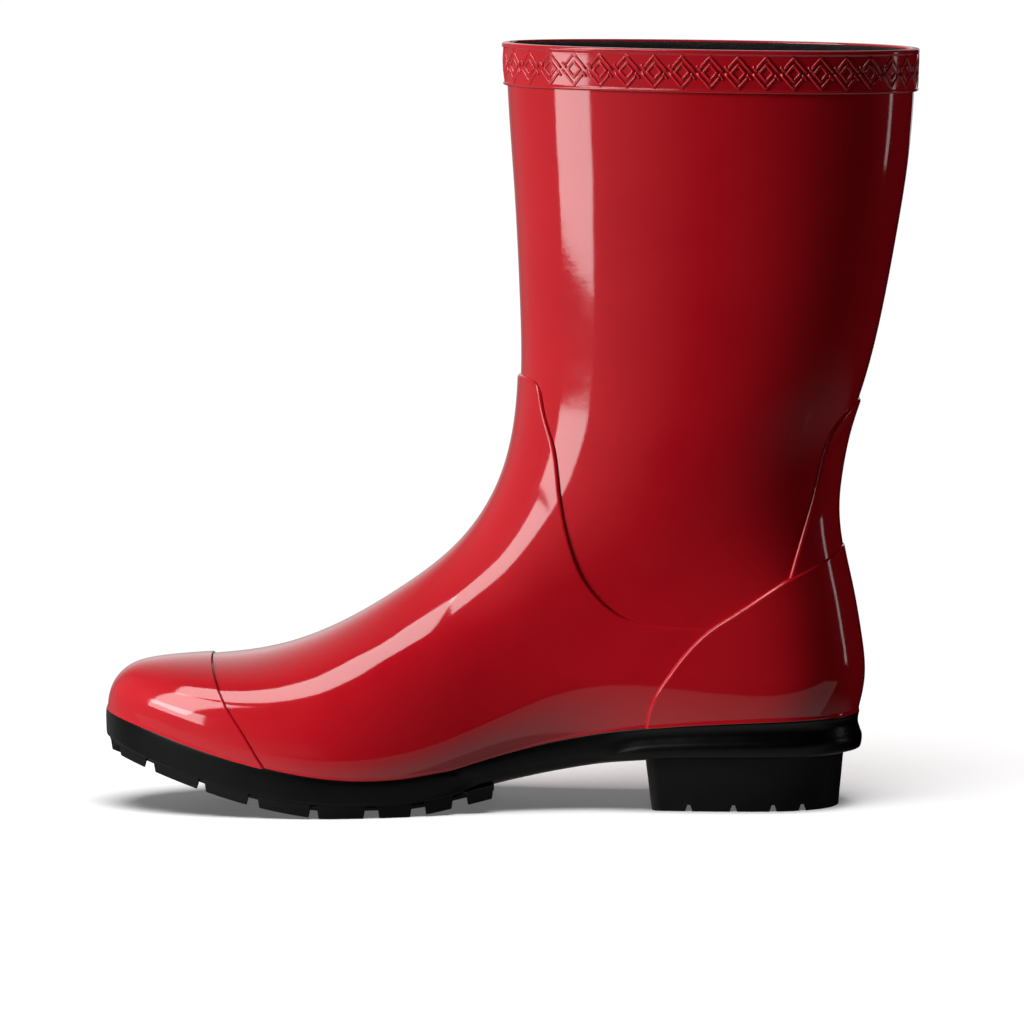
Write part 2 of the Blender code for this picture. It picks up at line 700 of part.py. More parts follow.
def add_heel(group, cutters, looks):
    block = add_plate(
        "heel_block", group, looks["heel_block"], HEEL_OUT[0], floor_level, tread_top,
        (HEEL_BREAST, None), HEEL_OUT[1],
    )
    for i, x in enumerate(HEEL_GROOVES):
        mouth, root, top = HEEL_GROOVE_MOUTH / 2, HEEL_GROOVE_ROOT / 2, HEEL_GROOVE_DEPTH
        wedge = [(x - mouth, -1.0), (x + mouth, -1.0), (x + root, top), (x - root, top)]
        cut(block, add_prism(f"heel_groove_{i}", wedge, cutters), "DIFFERENCE")


def add_shank(group, cutters, look, filler):
    """The steel bar, and the groove for it in the top of the filler."""
    start = POCKET[1] + 6
    sections, groove = [], []
    half = SHANK_WIDTH / 2
    for x in stations(start, SHANK_END):
        high = shank_top(x)
        low = high - SHANK_THICKNESS
        sections.append([(x, -half, low), (x, half, low), (x, half, high), (x, -half, high)])
    add_bar("shank", sections, group, look)
    half += STACK_GAP
    for x in stations(start - STACK_GAP, SHANK_END + STACK_GAP):
        low = shank_top(x) - SHANK_THICKNESS - STACK_GAP
        groove.append([(x, -half, low), (x, half, low), (x, half, low + 6), (x, -half, low + 6)])
    slot = add_bar("shank_groove", groove, cutters, None)
    cut(filler, hidden(slot), "DIFFERENCE")


def add_inside(group, cutters, looks):
    lean = LODGED_LEAN * LODGED
    add_plate("insole_board", group, looks["insole_board"], -lean - 0.9, board_underside, board_top)
    filler = add_plate(
        "midsole_filler", group, looks["midsole_filler"], -lean - 1.2,
        lambda x: sole_floor(x) + STACK_GAP, lambda x: board_underside(x) - STACK_GAP, (POCKET[1] + 2, None),
    )
    add_shank(group, cutters, looks["shank"], filler)
    inset = -(SHELL + STIFFENER + LINING + 3 * STACK_GAP + 1.4)
    add_plate(
        "footbed", group, looks["footbed"], inset, foam_underside, lambda x: foam_underside(x) + FOAM,
    )
    add_plate(
        "footbed_cover", group, looks["footbed_cover"], inset, cover_underside,
        lambda x: cover_underside(x) + FLEECE,
    )


def clear_scene():
    for old in list(bpy.data.objects):
        bpy.data.objects.remove(old, do_unlink=True)


def make_looks():
    red = (0.42, 0.012, 0.02)
    black = (0.012, 0.012, 0.013)
    return {
        "leg_shell": material("leg_pvc", red, 0.16),
        "foot_shell": material("foot_pvc", red, 0.2),
        "vamp_overlay": material("vamp_pvc", red, 0.15),
        "toe_cap": material("cap_pvc", (0.43, 0.013, 0.02), 0.15),
        "heel_counter": material("counter_pvc", (0.41, 0.012, 0.02), 0.16),
        "back_stay": material("stay_pvc", (0.40, 0.012, 0.02), 0.17),
        "top_band": material("band_pvc", (0.43, 0.013, 0.022), 0.17),
        "toe_puff": material("puff_fibre", (0.55, 0.47, 0.34), 0.8),
        "heel_stiffener": material("stiffener_fibre", (0.52, 0.45, 0.33), 0.8),
        "lining": material("foot_lining_knit", (0.02, 0.02, 0.022), 0.95),
        "leg_lining": material("leg_lining_knit", (0.022, 0.022, 0.024), 0.95),
        "outsole": material("sole_rubber", black, 0.42),
        "forefoot_tread": material("tread_rubber", black, 0.5),
        "heel_block": material("heel_rubber", (0.011, 0.011, 0.012), 0.5),
        "midsole_filler": material("filler_cork", (0.36, 0.24, 0.13), 0.9),
        "shank": material("shank_steel", (0.62, 0.62, 0.64), 0.35, 1.0),
        "insole_board": material("board_fibre", (0.42, 0.33, 0.22), 0.85),
        "footbed": material("footbed_foam", (0.05, 0.05, 0.055), 0.9),
        "footbed_cover": material("footbed_fleece", (0.03, 0.03, 0.033), 0.95),
    }


def main():
    clear_scene()
    group = collection("rain_boot")
    cutters = collection("cutters")
    looks = make_looks()
    add_upper(group, cutters, looks)
    add_inner_layers(group, cutters, looks)
    add_outsole(group, looks)
    add_tread(group, cutters, looks)
    add_heel(group, cutters, looks)
    add_inside(group, cutters, looks)


main()
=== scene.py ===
"""The looks of the rain boot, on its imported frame.

Lengths in the tables are millimetres, in the frame of the boot's own drawing: X runs from the toe to the heel,
Y from the medial side to the lateral one, and Z up. metres() turns them into metres, and moves them so that
the origin lies on the floor under the middle of the boot.
"""

import copy
import math

import bmesh
import bpy
import numpy as np
from mathutils import Matrix, Vector


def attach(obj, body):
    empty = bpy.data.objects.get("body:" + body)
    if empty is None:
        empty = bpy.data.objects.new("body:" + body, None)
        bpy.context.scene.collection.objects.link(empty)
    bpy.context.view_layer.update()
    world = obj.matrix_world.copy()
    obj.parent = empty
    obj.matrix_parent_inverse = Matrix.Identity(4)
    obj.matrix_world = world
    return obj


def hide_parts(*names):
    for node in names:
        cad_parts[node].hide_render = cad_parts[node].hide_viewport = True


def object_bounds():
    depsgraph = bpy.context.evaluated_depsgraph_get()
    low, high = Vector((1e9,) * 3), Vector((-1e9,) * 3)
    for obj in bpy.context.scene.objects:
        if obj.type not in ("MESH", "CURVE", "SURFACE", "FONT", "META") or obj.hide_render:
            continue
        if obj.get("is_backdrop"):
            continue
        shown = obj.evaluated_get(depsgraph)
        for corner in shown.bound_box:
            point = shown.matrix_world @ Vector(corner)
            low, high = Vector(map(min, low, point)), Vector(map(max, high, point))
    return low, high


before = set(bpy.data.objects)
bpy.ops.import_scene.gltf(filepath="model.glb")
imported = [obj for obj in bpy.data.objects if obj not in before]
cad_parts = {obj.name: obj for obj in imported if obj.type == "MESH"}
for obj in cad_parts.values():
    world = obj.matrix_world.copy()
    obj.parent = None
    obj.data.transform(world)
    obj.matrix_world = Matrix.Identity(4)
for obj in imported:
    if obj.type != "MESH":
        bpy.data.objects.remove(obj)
CAD_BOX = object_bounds()

MM = 0.001
BOX_CENTRE = (9.326, 0.918)  # X and Y of the middle of the boot's box, in the tables' own frame

# Side view of the reference surface: X, Z. Both lists start on the feather line and end at the rim.
FRONT_PROFILE = [
    (-136.2, 35.6), (-134.6, 43.4), (-129.4, 49.4), (-119.5, 52.4), (-106, 53.6), (-91.5, 54.6),
    (-75, 57.2), (-53.4, 65), (-31, 77.9), (-9, 95.4), (5.6, 118), (12.2, 147.6),
    (12.4, 184.2), (10.4, 224.2), (8, 259.8), (7.2, 278.2),
]
BACK_PROFILE = [
    (134.6, 34.6), (136.9, 46), (135.8, 62), (132.6, 80), (129.2, 96), (128, 109),
    (129.3, 123), (132.4, 138), (136.9, 152), (143.6, 178), (149.2, 208), (153.2, 234),
    (155.3, 258), (156, 276),
]
# How far up each profile, in millimetres along it, the levels 0, 0.1, ... 1 lie.
FRONT_CLIMB = [0, 12, 27, 50, 80, 114, 152, 194, 240, 288]
BACK_CLIMB = [0, 6, 13, 22, 35, 53, 79, 114, 156, 200]

# Height of the feather line and of the undersides, along X.
FEATHER_HEIGHT = [
    (-136.2, 35.6), (-122, 31.2), (-101, 24.2), (-79, 18.4), (-58, 14.7), (-40, 13.7),
    (-20, 15.4), (0, 20), (20, 25), (45, 29.6), (75, 32.6), (105, 34), (134.6, 34.6),
]
SOLE_UNDERSIDE = [
    (-140, 27), (-123, 20.4), (-105, 14.4), (-90, 10.2), (-75, 7), (-60, 5.2), (-43, 4.6),
    (-27, 5.2), (-12, 7.2), (3, 10.4), (28, 15.4), (56, 19.2), (90, 20.2), (140, 20.6),
]
TREAD_UNDERSIDE = [
    (-140, 22.5), (-123, 16.4), (-105, 10.3), (-90, 5.9), (-75, 2.5), (-61, 0.3), (-58, 0),
    (-28, 0), (-25, 0.25), (-12, 2.4), (3, 5.6), (10, 7.4),
]

# Plan of the feather line, from the toe to the heel: X, Y.
LATERAL_OUTLINE = [
    (-136.2, -6), (-131, 8.5), (-120, 20.5), (-104, 31), (-84, 39.5), (-62, 44.6), (-40, 46),
    (-15, 43.4), (15, 37.6), (45, 33.4), (75, 31.8), (100, 31), (118, 26.8), (130, 16.6),
]
MEDIAL_OUTLINE = [
    (134.6, 0), (129.6, -17.2), (116, -28.2), (95, -31.2), (70, -29.6), (45, -26.8), (22, -26.6),
    (0, -30.4), (-22, -37.2), (-45, -43), (-65, -44.4), (-85, -42), (-105, -36.6),
    (-121, -29), (-132, -19),
]
RIDGE_OFFSET = [(-140, -6), (-100, -5.2), (-60, -3.4), (-20, -1.2), (20, 0), (160, 0)]

# How the side walls of the foot swell above the feather line: X, height of the widest point, and the share by
# which the wall is wider there.
MEDIAL_SWELL = [
    (-140, 8, 0.02), (-70, 9, 0.035), (-20, 17, 0.09), (25, 30, 0.2), (70, 22, 0.1), (140, 12, 0.05),
]
LATERAL_SWELL = [
    (-140, 8, 0.02), (-70, 9, 0.03), (-20, 12, 0.05), (25, 18, 0.08), (70, 16, 0.07), (140, 12, 0.05),
]
LOW_SHARE = 0.45  # the widest point stays below this share of the foot's height
TOE_FULLNESS = 0.16

# Half width of the leg at the levels 0, 0.1, ... 1, and what makes its oval fuller and wider at the calf.
LEG_HALF_WIDTH = [33, 33, 33.2, 33.6, 34.4, 35.4, 36.8, 38.8, 41.4, 43.8, 45.4]
LEG_SQUARENESS = 0.025
LEG_CALF = 0.06
LEG_SPAN = (0.34, 0.76)  # levels between which the foot's shape turns into the leg's
FEATHER_FADES = 0.5  # level at which the curve of the feather line has died away

# Seams, in side view: X, Z. They are the same on both sides of the boot.
VAMP_SEAM = [
    (12.3, 157.6), (18.6, 155.4), (21, 147.5), (24.8, 134), (26.8, 120.3), (28.7, 106.8), (31, 97.4),
    (35.6, 85.9), (43, 76.8), (50.5, 71.5), (58, 69.2), (65.5, 68.4), (81.5, 67.6),
]
COUNTER_SEAM = [
    (57.6, 30.5), (59.6, 40), (65, 49.6), (72.3, 59.3), (81, 67.6), (88, 72.2), (98, 78.6),
    (109.6, 85.8), (121.4, 91.4), (128.9, 95.6),
]
STAY_SEAM = [
    (109.6, 85.8), (114.2, 101), (119.6, 119.8), (122, 130.4), (126, 139.6), (130.6, 144.6), (136, 149),
]
CAP_SEAM = [(-99.4, 54.4), (-98.2, 50), (-95.6, 44), (-92, 37.8), (-86.4, 29.8), (-81.2, 21.6), (-79, 18.4)]

# The layers of the wall inside the reference surface, from the outside in, and the gap between two of them.
SHELL = 2.0
STIFFENER = 0.9
LINING = 1.5
STACK_GAP = 0.3
LODGED = 4.6  # how far the upper reaches down into the sole
LODGED_LEAN = 0.25  # how far it leans in on the way, for each millimetre down

# Underneath, and the footbed.
SOLE_PROUD = 2.3  # how far the sole's side wall stands out from the reference surface
FOAM, FLEECE = 3.0, 1.3
FOOTBED_SPARE = 1.4  # room between the footbed and the lining
FOOTBED_OUT = -(SHELL + STIFFENER + LINING + 3 * STACK_GAP + FOOTBED_SPARE)
FLEECE_LIFT, FLEECE_LIFTS = 0.9, (60, 100)  # how far the fleece stands up round the heel, and where it rises
CUSHION_COLUMNS, CUSHION_SIDES, CUSHION_CROWN = 72, 0.35, 0.75  # the lower the power, the squarer the edge
HEEL_BREAST = 58.0
BREAST_SLOPE = 2.4  # how much nearer the back the heel's breast is at its foot
HEEL_OUT = (-3.6, -5.5)  # how far the heel's top and its bottom lie out from the feather line in plan
HEEL_CORNER, HEEL_BITE, HEEL_ROUNDING = 3.0, 0.4, 0.6
HEEL_NOTCHES = [73.7, 89.9, 104.3, 115.0]  # X of the notches across the heel's foot
NOTCH = (1.7, 0.5, 2.4)  # half its width 1 mm below the floor, half its width at the top, and its height
CUTTER_REACH = 60
TREAD_END = 3.0
# Cross grooves of the tread: X of the middle, width.
TREAD_GROOVES = [
    (-121.6, 2.4), (-102.6, 1.8), (-83.9, 3), (-62, 2), (-41.2, 4.2), (-24.4, 4.2), (-9.4, 4.4),
]
GROOVE_DEPTH = 2.9
LONG_GROOVE, LONG_GROOVE_HALF = 15.0, 1.4  # each groove along the tread: Y of its middle, half its width
LUG_COLUMNS = 9
LUG_LEAST = 2.0  # a lug that would be narrower than this is left out
LUG_SET_IN, LUG_BITE, LUG_TAPER, LUG_ROUNDING = 0.8, 0.2, 0.75, 0.35
PLATE_START, PLATE_SET_IN, PLATE_PROUD = 0.5, 1.6, 0.3


# ---- curves


def spline(knots, values):
    """A function: the natural cubic spline through the values at the knots."""
    knots = np.asarray(knots, float)
    values = np.asarray(values, float)
    gaps = np.diff(knots)
    system = np.eye(len(knots))
    pull = np.zeros_like(values)
    for i in range(1, len(knots) - 1):
        system[i, i - 1 : i + 2] = gaps[i - 1], 2 * (gaps[i - 1] + gaps[i]), gaps[i]
        pull[i] = 6 * ((values[i + 1] - values[i]) / gaps[i] - (values[i] - values[i - 1]) / gaps[i - 1])
    bend = np.linalg.solve(system, pull)

    def at(where):
        where = np.asarray(where, float)
        i = np.clip(np.searchsorted(knots, where) - 1, 0, len(knots) - 2)
        span = gaps[i]
        after = (where - knots[i]) / span
        before = 1 - after
        if values.ndim > 1:
            span, after, before = span[..., None], after[..., None], before[..., None]
        curve = (before**3 - before) * bend[i] + (after**3 - after) * bend[i + 1]
        return before * values[i] + after * values[i + 1] + curve * span**2 / 6

    return at


def through(pairs):
    """A function of X: the spline through (X, value) pairs."""
    pairs = np.array(pairs, float)
    return spline(pairs[:, 0], pairs[:, 1])


def unit(vectors):
    return vectors / np.linalg.norm(vectors, axis=-1, keepdims=True)


def turns(count):
    """Angles round the boot. 0 is at the heel, and they go by the medial side to the toe."""
    return np.linspace(0, 2 * math.pi, count, endpoint=False)


def chord_lengths(points):
    steps = np.linalg.norm(np.diff(points, axis=0), axis=1)
    return np.concatenate([[0], np.cumsum(steps)])


def path(points):
    """(function, length): the spline through the points, by distance along them."""
    points = np.array(points, float)
    distances = chord_lengths(points)
    return spline(distances, points), distances[-1]


def outline_sides():
    """Dense X and Y along the lateral and the medial half of the feather line's plan, each with X rising."""
    loop = np.array(LATERAL_OUTLINE + MEDIAL_OUTLINE, float)
    count = len(loop)
    tripled = np.concatenate([loop, loop, loop, loop[:1]])
    distances = chord_lengths(tripled)
    curve = spline(distances, tripled)
    toe, heel, next_toe = distances[count], distances[count + len(LATERAL_OUTLINE)], distances[2 * count]
    return curve(np.linspace(toe, heel, 1500)), curve(np.linspace(heel, next_toe, 1500))[::-1]


front_curve, front_length = path(FRONT_PROFILE)
back_curve, back_length = path(BACK_PROFILE)
LEVELS = np.linspace(0, 1, 11)
front_climb = spline(LEVELS, FRONT_CLIMB + [front_length])
back_climb = spline(LEVELS, BACK_CLIMB + [back_length])
feather_height = through(FEATHER_HEIGHT)
sole_underside = through(SOLE_UNDERSIDE)
tread_spline = through(TREAD_UNDERSIDE)
ridge_offset = through(RIDGE_OFFSET)
leg_half_width = spline(LEVELS, LEG_HALF_WIDTH)
lateral_edge, medial_edge = outline_sides()
ridge_samples = front_curve(np.linspace(0, front_length, 4000))
STEEP_X = 3.0  # past this X the instep is so steep that its height is carried on by a parabola
STEEP_BEND = 0.08


def tread_underside(x):
    return np.clip(tread_spline(x), 0, None)


def swell(table, column):
    table = np.array(table, float)
    return spline(table[:, 0], table[:, column])


def smooth_step(value):
    value = np.clip(value, 0, 1)
    return value**3 * (value * (6 * value - 15) + 10)


def blend(value, span):
    """0 before a span of values and 1 after it."""
    return smooth_step((value - span[0]) / (span[1] - span[0]))


def ridge_height(x):
    """Height of the top line of the foot over X, carried on upwards where the leg begins."""
    rising = ridge_samples[: np.argmax(ridge_samples[:, 0] > STEEP_X)]
    slope = (rising[-1, 1] - rising[-9, 1]) / (rising[-1, 0] - rising[-9, 0])
    beyond = np.clip(x - STEEP_X, 0, None)
    return np.interp(x, rising[:, 0], rising[:, 1]) + slope * beyond + STEEP_BEND * beyond**2


# ---- the reference surface


def side_point(share, level):
    """X and Z of the point at a share of the way from the back profile to the front one, at a level."""
    front = front_curve(front_climb(level))
    back = back_curve(back_climb(level))
    x = back[..., 0] + share * (front[..., 0] - back[..., 0])
    z = back[..., 1] + share * (front[..., 1] - back[..., 1])
    heel, toe = np.array(BACK_PROFILE[0]), np.array(FRONT_PROFILE[0])
    x_feather = heel[0] + share * (toe[0] - heel[0])
    dip = feather_height(x_feather) - (heel[1] + share * (toe[1] - heel[1]))
    return x, z + dip * np.clip(1 - level / FEATHER_FADES, 0, 1) ** 3


def foot_half_width(x, z, edge, table):
    """Distance of the foot's wall from its ridge line, on the side of that edge and that swell table."""
    floor_width = np.abs(np.interp(x, edge[:, 0], edge[:, 1]) - ridge_offset(x))
    low = feather_height(x)
    height = np.clip(ridge_height(x) - low, 1e-6, None)
    nominal = swell(table, 1)(x)
    widest = 1 / (1 / nominal + 1 / (LOW_SHARE * height))
    gain = swell(table, 2)(x)
    above = np.clip((z - low - widest) / np.clip(height - widest, 1e-6, None), 0, 1)
    below = np.clip((widest - (z - low)) / np.clip(widest, 1e-6, None), 0, 1)
    crown = np.sqrt(1 - above**2) * (1 + TOE_FULLNESS * above**2)
    return floor_width * (1 + gain * (1 - below**2)) * crown


def surface(angle, level):
    """Points of the reference surface. Level 0 is the feather line and 1 the rim. Each 0.01 of level below 0
    is a millimetre further down into the sole."""
    angle, level = np.broadcast_arrays(np.asarray(angle, float), np.asarray(level, float))
    lodged = np.clip(-level, 0, None) * 100
    level = np.clip(level, 0, 1)
    share = (1 - np.cos(angle)) / 2
    x, z = side_point(share, level)
    heel_shift = BACK_PROFILE[0][0] - back_curve(back_climb(level))[..., 0]
    plan_x = x + heel_shift * (1 - share) ** 3
    medial = np.sin(angle) >= 0
    foot = np.where(
        medial,
        foot_half_width(plan_x, z, medial_edge, MEDIAL_SWELL),
        foot_half_width(plan_x, z, lateral_edge, LATERAL_SWELL),
    )
    across = np.abs(np.sin(angle))
    oval = across + LEG_SQUARENESS * np.abs(np.sin(3 * angle)) * np.sign(np.sin(3 * np.arcsin(across)))
    leg = leg_half_width(level) * oval / (1 - LEG_SQUARENESS) * (1 + LEG_CALF * np.cos(angle))
    turning = blend(level, LEG_SPAN)
    half = foot * (1 - turning) + leg * turning
    y = ridge_offset(plan_x) * (1 - turning) + np.where(medial, -half, half)
    lean = lodged * LODGED_LEAN
    return np.stack([x - lean * np.cos(angle), y + lean * np.sin(angle), z - lodged], -1)


def outward(angle, level):
    """Unit normals of the reference surface."""
    turn, climb = 0.02, 0.002
    high = np.minimum(level + climb, 1.0)
    low = high - 2 * climb
    along = surface(angle + turn, level) - surface(angle - turn, level)
    up = surface(angle, high) - surface(angle, low)
    return unit(np.cross(up, along))


def wall(angle, level, out):
    """Points at a distance out from the reference surface."""
    return surface(angle, level) + outward(angle, level) * np.asarray(out)[..., None]


# ---- the feather line in plan


def feather_plan(count):
    """(points, outward normals) of the feather line in plan."""
    angle = turns(count)
    along = surface(angle + 0.01, 0.0) - surface(angle - 0.01, 0.0)
    return surface(angle, 0.0)[:, :2], unit(np.column_stack([-along[:, 1], along[:, 0]]))


def plan_sides(out):
    """(medial, lateral, (toe, heel)): for each side of the feather line moved out in plan, a function from X
    to Y, and the X of its two ends."""
    plan, normal = feather_plan(720)
    ring = plan + normal * out
    medial, lateral = ring[:361], np.concatenate([ring[360:], ring[:1]])
    return (
        lambda x: np.interp(-x, -medial[:, 0], medial[:, 1]),
        lambda x: np.interp(x, lateral[:, 0], lateral[:, 1]),
        (ring[:, 0].min(), ring[:, 0].max()),
    )


def board_top(x):
    return feather_height(x) - LODGED - STACK_GAP


# ---- meshes


def metres(points):
    return (np.asarray(points, float) - np.array([*BOX_CENTRE, 0.0])) * MM


def link(name, data):
    made = bpy.data.objects.new(name, data)
    bpy.context.scene.collection.objects.link(made)
    return made


def add_piece(name, points, faces, look, node=None, body="boot", normals=None, slot=None):
    """A smooth-shaded mesh that rides on a body, in place of a CAD node or, without one, beside what is. slot
    is not used.
    """
    mesh = bpy.data.meshes.new(name)
    mesh.from_pydata(metres(points).tolist(), [], [tuple(int(i) for i in face) for face in faces])
    mesh.materials.append(look)
    mesh.shade_smooth()
    if normals is not None:
        mesh.normals_split_custom_set_from_vertices(normals.tolist())
    made = link(name, mesh)
    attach(made, body)
    if node:
        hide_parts(node)
    return made


def joined(parts):
    """(points, faces) of several (points, faces) as one."""
    starts = np.cumsum([0] + [len(points) for points, _ in parts])
    faces = [[i + start for i in face] for start, (_, part) in zip(starts, parts) for face in part]
    return np.concatenate([points for points, _ in parts]), faces


def tube_faces(rings, around, flip=False):
    """Faces between closed rings of points that follow one another."""
    faces = []
    for j in range(rings - 1):
        for i in range(around):
            k = (i + 1) % around
            face = (j * around + i, j * around + k, (j + 1) * around + k, (j + 1) * around + i)
            faces.append(face[::-1] if flip else face)
    return faces


def end_faces(rings, around):
    """The two faces that close the ends of a tube, or of a rib."""
    return [tuple(range(around))[::-1], tuple(range((rings - 1) * around, rings * around))]


def ladder(start, around):
    """Faces that close a ring, rung by rung from its heel to its toe."""
    faces = []
    for i in range(around // 2):
        a, b = start + i, start + i + 1
        c, d = start + around - i - 1, start + (around - i) % around
        faces.append((a, b, c) if a == d else (a, b, d) if b == c else (a, b, c, d))
    return faces


def mitres(ahead, behind, least=-np.inf):
    """The sideways step at each corner of a line that moves both of its sides by 1. With least, a sharp corner
    moves by no more than 1 / least."""
    ahead, behind = unit(ahead), unit(behind)
    across = np.column_stack([-(ahead + behind)[:, 1], (ahead + behind)[:, 0]])
    share = (across * np.column_stack([-ahead[:, 1], ahead[:, 0]])).sum(1)
    return across / np.maximum(share, least)[:, None]


def recalculate(made):
    work = bmesh.new()
    work.from_mesh(made.data)
    bmesh.ops.recalc_face_normals(work, faces=work.faces)
    work.to_mesh(made.data)
    work.free()


def soften(made, width, segments, angle):
    """Rounds the edges that are sharper than an angle in degrees."""
    step = made.modifiers.new("rounded edges", "BEVEL")
    step.width = width * MM
    step.segments = segments
    step.limit_method = "ANGLE"
    step.angle_limit = math.radians(angle)
    step.harden_normals = True


# ---- seams on the reference surface


def dense(line, extend, count=240):
    """A smooth polyline through the points of a seam, carried straight on past both ends."""
    curve, length = path(line)
    points = curve(np.linspace(0, length, count))
    first = points[0] - points[1]
    last = points[-1] - points[-2]
    before = points[0] + first / np.linalg.norm(first) * extend[0]
    after = points[-1] + last / np.linalg.norm(last) * extend[1]
    return np.concatenate([[before], points, [after]])


BATCH = 8000  # points measured at a time, to spare memory


def side_distance(x, z, line):
    """(signed distance from a side-view polyline, positive on its right, and its unit gradient)."""
    start, along = line[:-1], np.diff(line, axis=0)
    length2 = (along**2).sum(1)
    distance = np.empty(len(x))
    gradient = np.empty((len(x), 2))
    for low in range(0, len(x), BATCH):
        part = slice(low, low + BATCH)
        point = np.column_stack([x[part], z[part]])
        offset = point[:, None, :] - start[None]
        share = np.clip((offset * along).sum(2) / length2, 0, 1)
        offset -= share[..., None] * along
        apart2 = (offset**2).sum(2)
        near = apart2.argmin(1)
        rows = np.arange(len(near))
        best = offset[rows, near]
        side = -np.sign(along[near, 0] * best[:, 1] - along[near, 1] * best[:, 0])
        size = np.sqrt(apart2[rows, near])
        distance[part] = side * size
        right = np.column_stack([along[near, 1], -along[near, 0]]) / np.sqrt(length2[near])[:, None]
        straight = best / np.maximum(size, 1e-6)[:, None] * side[:, None]
        gradient[part] = np.where((size > 1e-6)[:, None], straight, right)
    return distance, gradient


SEAMS = {
    "cap": dense([(-99.8, 75.0), *CAP_SEAM, (-77.5, 15.0)], (40, 40)),
    "counter": dense([(56.6, 22.0), *COUNTER_SEAM, (150.0, 103.5)], (40, 40)),
    "vamp": dense([(-40.0, 157.4), (0.0, 157.6), *VAMP_SEAM, (100.0, 67.4)], (200, 60)),
    "stay": dense([(106.0, 72.0), *STAY_SEAM, (150.0, 157.0)], (40, 40)),
}


LEAST_SLOPE = 0.18  # limits the distance from a seam where the wall turns away from the side view


def seam_field(points, normal, seam):
    """The distance along the wall from a seam, and the direction in which that grows."""
    distance, gradient = side_distance(points[:, 0], points[:, 2], SEAMS[seam])
    flat = np.column_stack([gradient[:, 0], np.zeros(len(points)), gradient[:, 1]])
    flat -= (flat * normal).sum(1)[:, None] * normal
    size = np.clip(np.linalg.norm(flat, axis=1), LEAST_SLOPE, None)
    return distance / size, flat / size[:, None]


class Sheet:
    """Triangles on the reference surface. Each corner is known by its angle and level, and holds its distance
    from each seam."""

    def __init__(self, columns, levels):
        across, up = np.meshgrid(turns(columns), levels)
        self.params = np.column_stack([across.ravel(), up.ravel()])
        j, i = (g.ravel() for g in np.meshgrid(np.arange(len(levels) - 1), np.arange(columns), indexing="ij"))
        a, b = j * columns + i, j * columns + (i + 1) % columns
        d, c = a + columns, b + columns
        self.faces = np.concatenate([np.column_stack([a, c, b]), np.column_stack([a, d, c])])
        self.values = {}

    def measure(self):
        angle, level = self.params.T
        points, normal = surface(angle, level), outward(angle, level)
        self.values = {seam: seam_field(points, normal, seam)[0] for seam in SEAMS}

    def keep(self, name, low=-np.inf, high=np.inf):
        """Keeps the triangles whose middle lies between two values of a field."""
        middle = self.values[name][self.faces].mean(1)
        self.faces = self.faces[(middle > low) & (middle < high)]
        used, faces = np.unique(self.faces, return_inverse=True)
        self.faces = faces.reshape(-1, 3)
        self.params = self.params[used]
        self.values = {key: value[used] for key, value in self.values.items()}

    def split(self, name, level):
        """Puts an edge of the mesh exactly where a field has a value."""
        value = self.values[name] - level
        value[np.abs(value) < 1e-4] = 1e-4
        above = (value > 0)[self.faces]
        mixed = (above.sum(1) % 3) != 0
        faces, above = self.faces[mixed], above[mixed]
        alone = np.where(above.sum(1) == 1, above.argmax(1), (~above).argmax(1))
        rows = np.arange(len(faces))
        a, b, c = (faces[rows, (alone + k) % 3] for k in range(3))
        pairs = np.sort(np.concatenate([np.column_stack([a, b]), np.column_stack([a, c])]), axis=1)
        edges, where = np.unique(pairs, axis=0, return_inverse=True)
        where = where.reshape(-1) + len(self.params)
        p, q = edges.T
        share = value[p] / (value[p] - value[q])
        turn = (self.params[q, 0] - self.params[p, 0] + math.pi) % (2 * math.pi) - math.pi
        climb = self.params[q, 1] - self.params[p, 1]
        new = self.params[p] + np.column_stack([turn, climb]) * share[:, None]
        self.params = np.concatenate([self.params, new])
        for key, held in self.values.items():
            between = held[p] + (held[q] - held[p]) * share
            if key == name:
                between = np.full(len(p), level)
            self.values[key] = np.concatenate([held, between])
        ab, ac = where[: len(faces)], where[len(faces) :]
        cut = [np.column_stack(t) for t in ((a, ab, ac), (ab, b, c), (ab, c, ac))]
        self.faces = np.concatenate([self.faces[~mixed], *cut])


EDGE_STEPS = (0.03, 0.12, 0.28, 0.52, 0.8, 1.1)  # shares of an edge's radius where its rounding has corners
STEEPEST = 0.16  # keeps the shading of an edge's foot from turning right over


def raised(distance, height, radius):
    """(height of a rounded step at a distance inside its edge, and its slope)."""
    share = 1 - np.clip(distance / radius, 0, 1)
    fall = np.sqrt(np.clip(1 - share**2, 0, 1))
    slope = height / radius * share / np.maximum(fall, STEEPEST)
    return height * fall, np.where(distance > radius, 0, slope)


def hem(points):
    """(height of the lip just above the sole, and its slope going up)."""
    above = np.clip(points[:, 2] - feather_height(points[:, 0]), 0, None)
    share = np.clip(above / LIP_HEIGHT, 0, 1)
    return LIP * (1 - share**2) ** 2, -4 * LIP / LIP_HEIGHT * share * (1 - share**2)


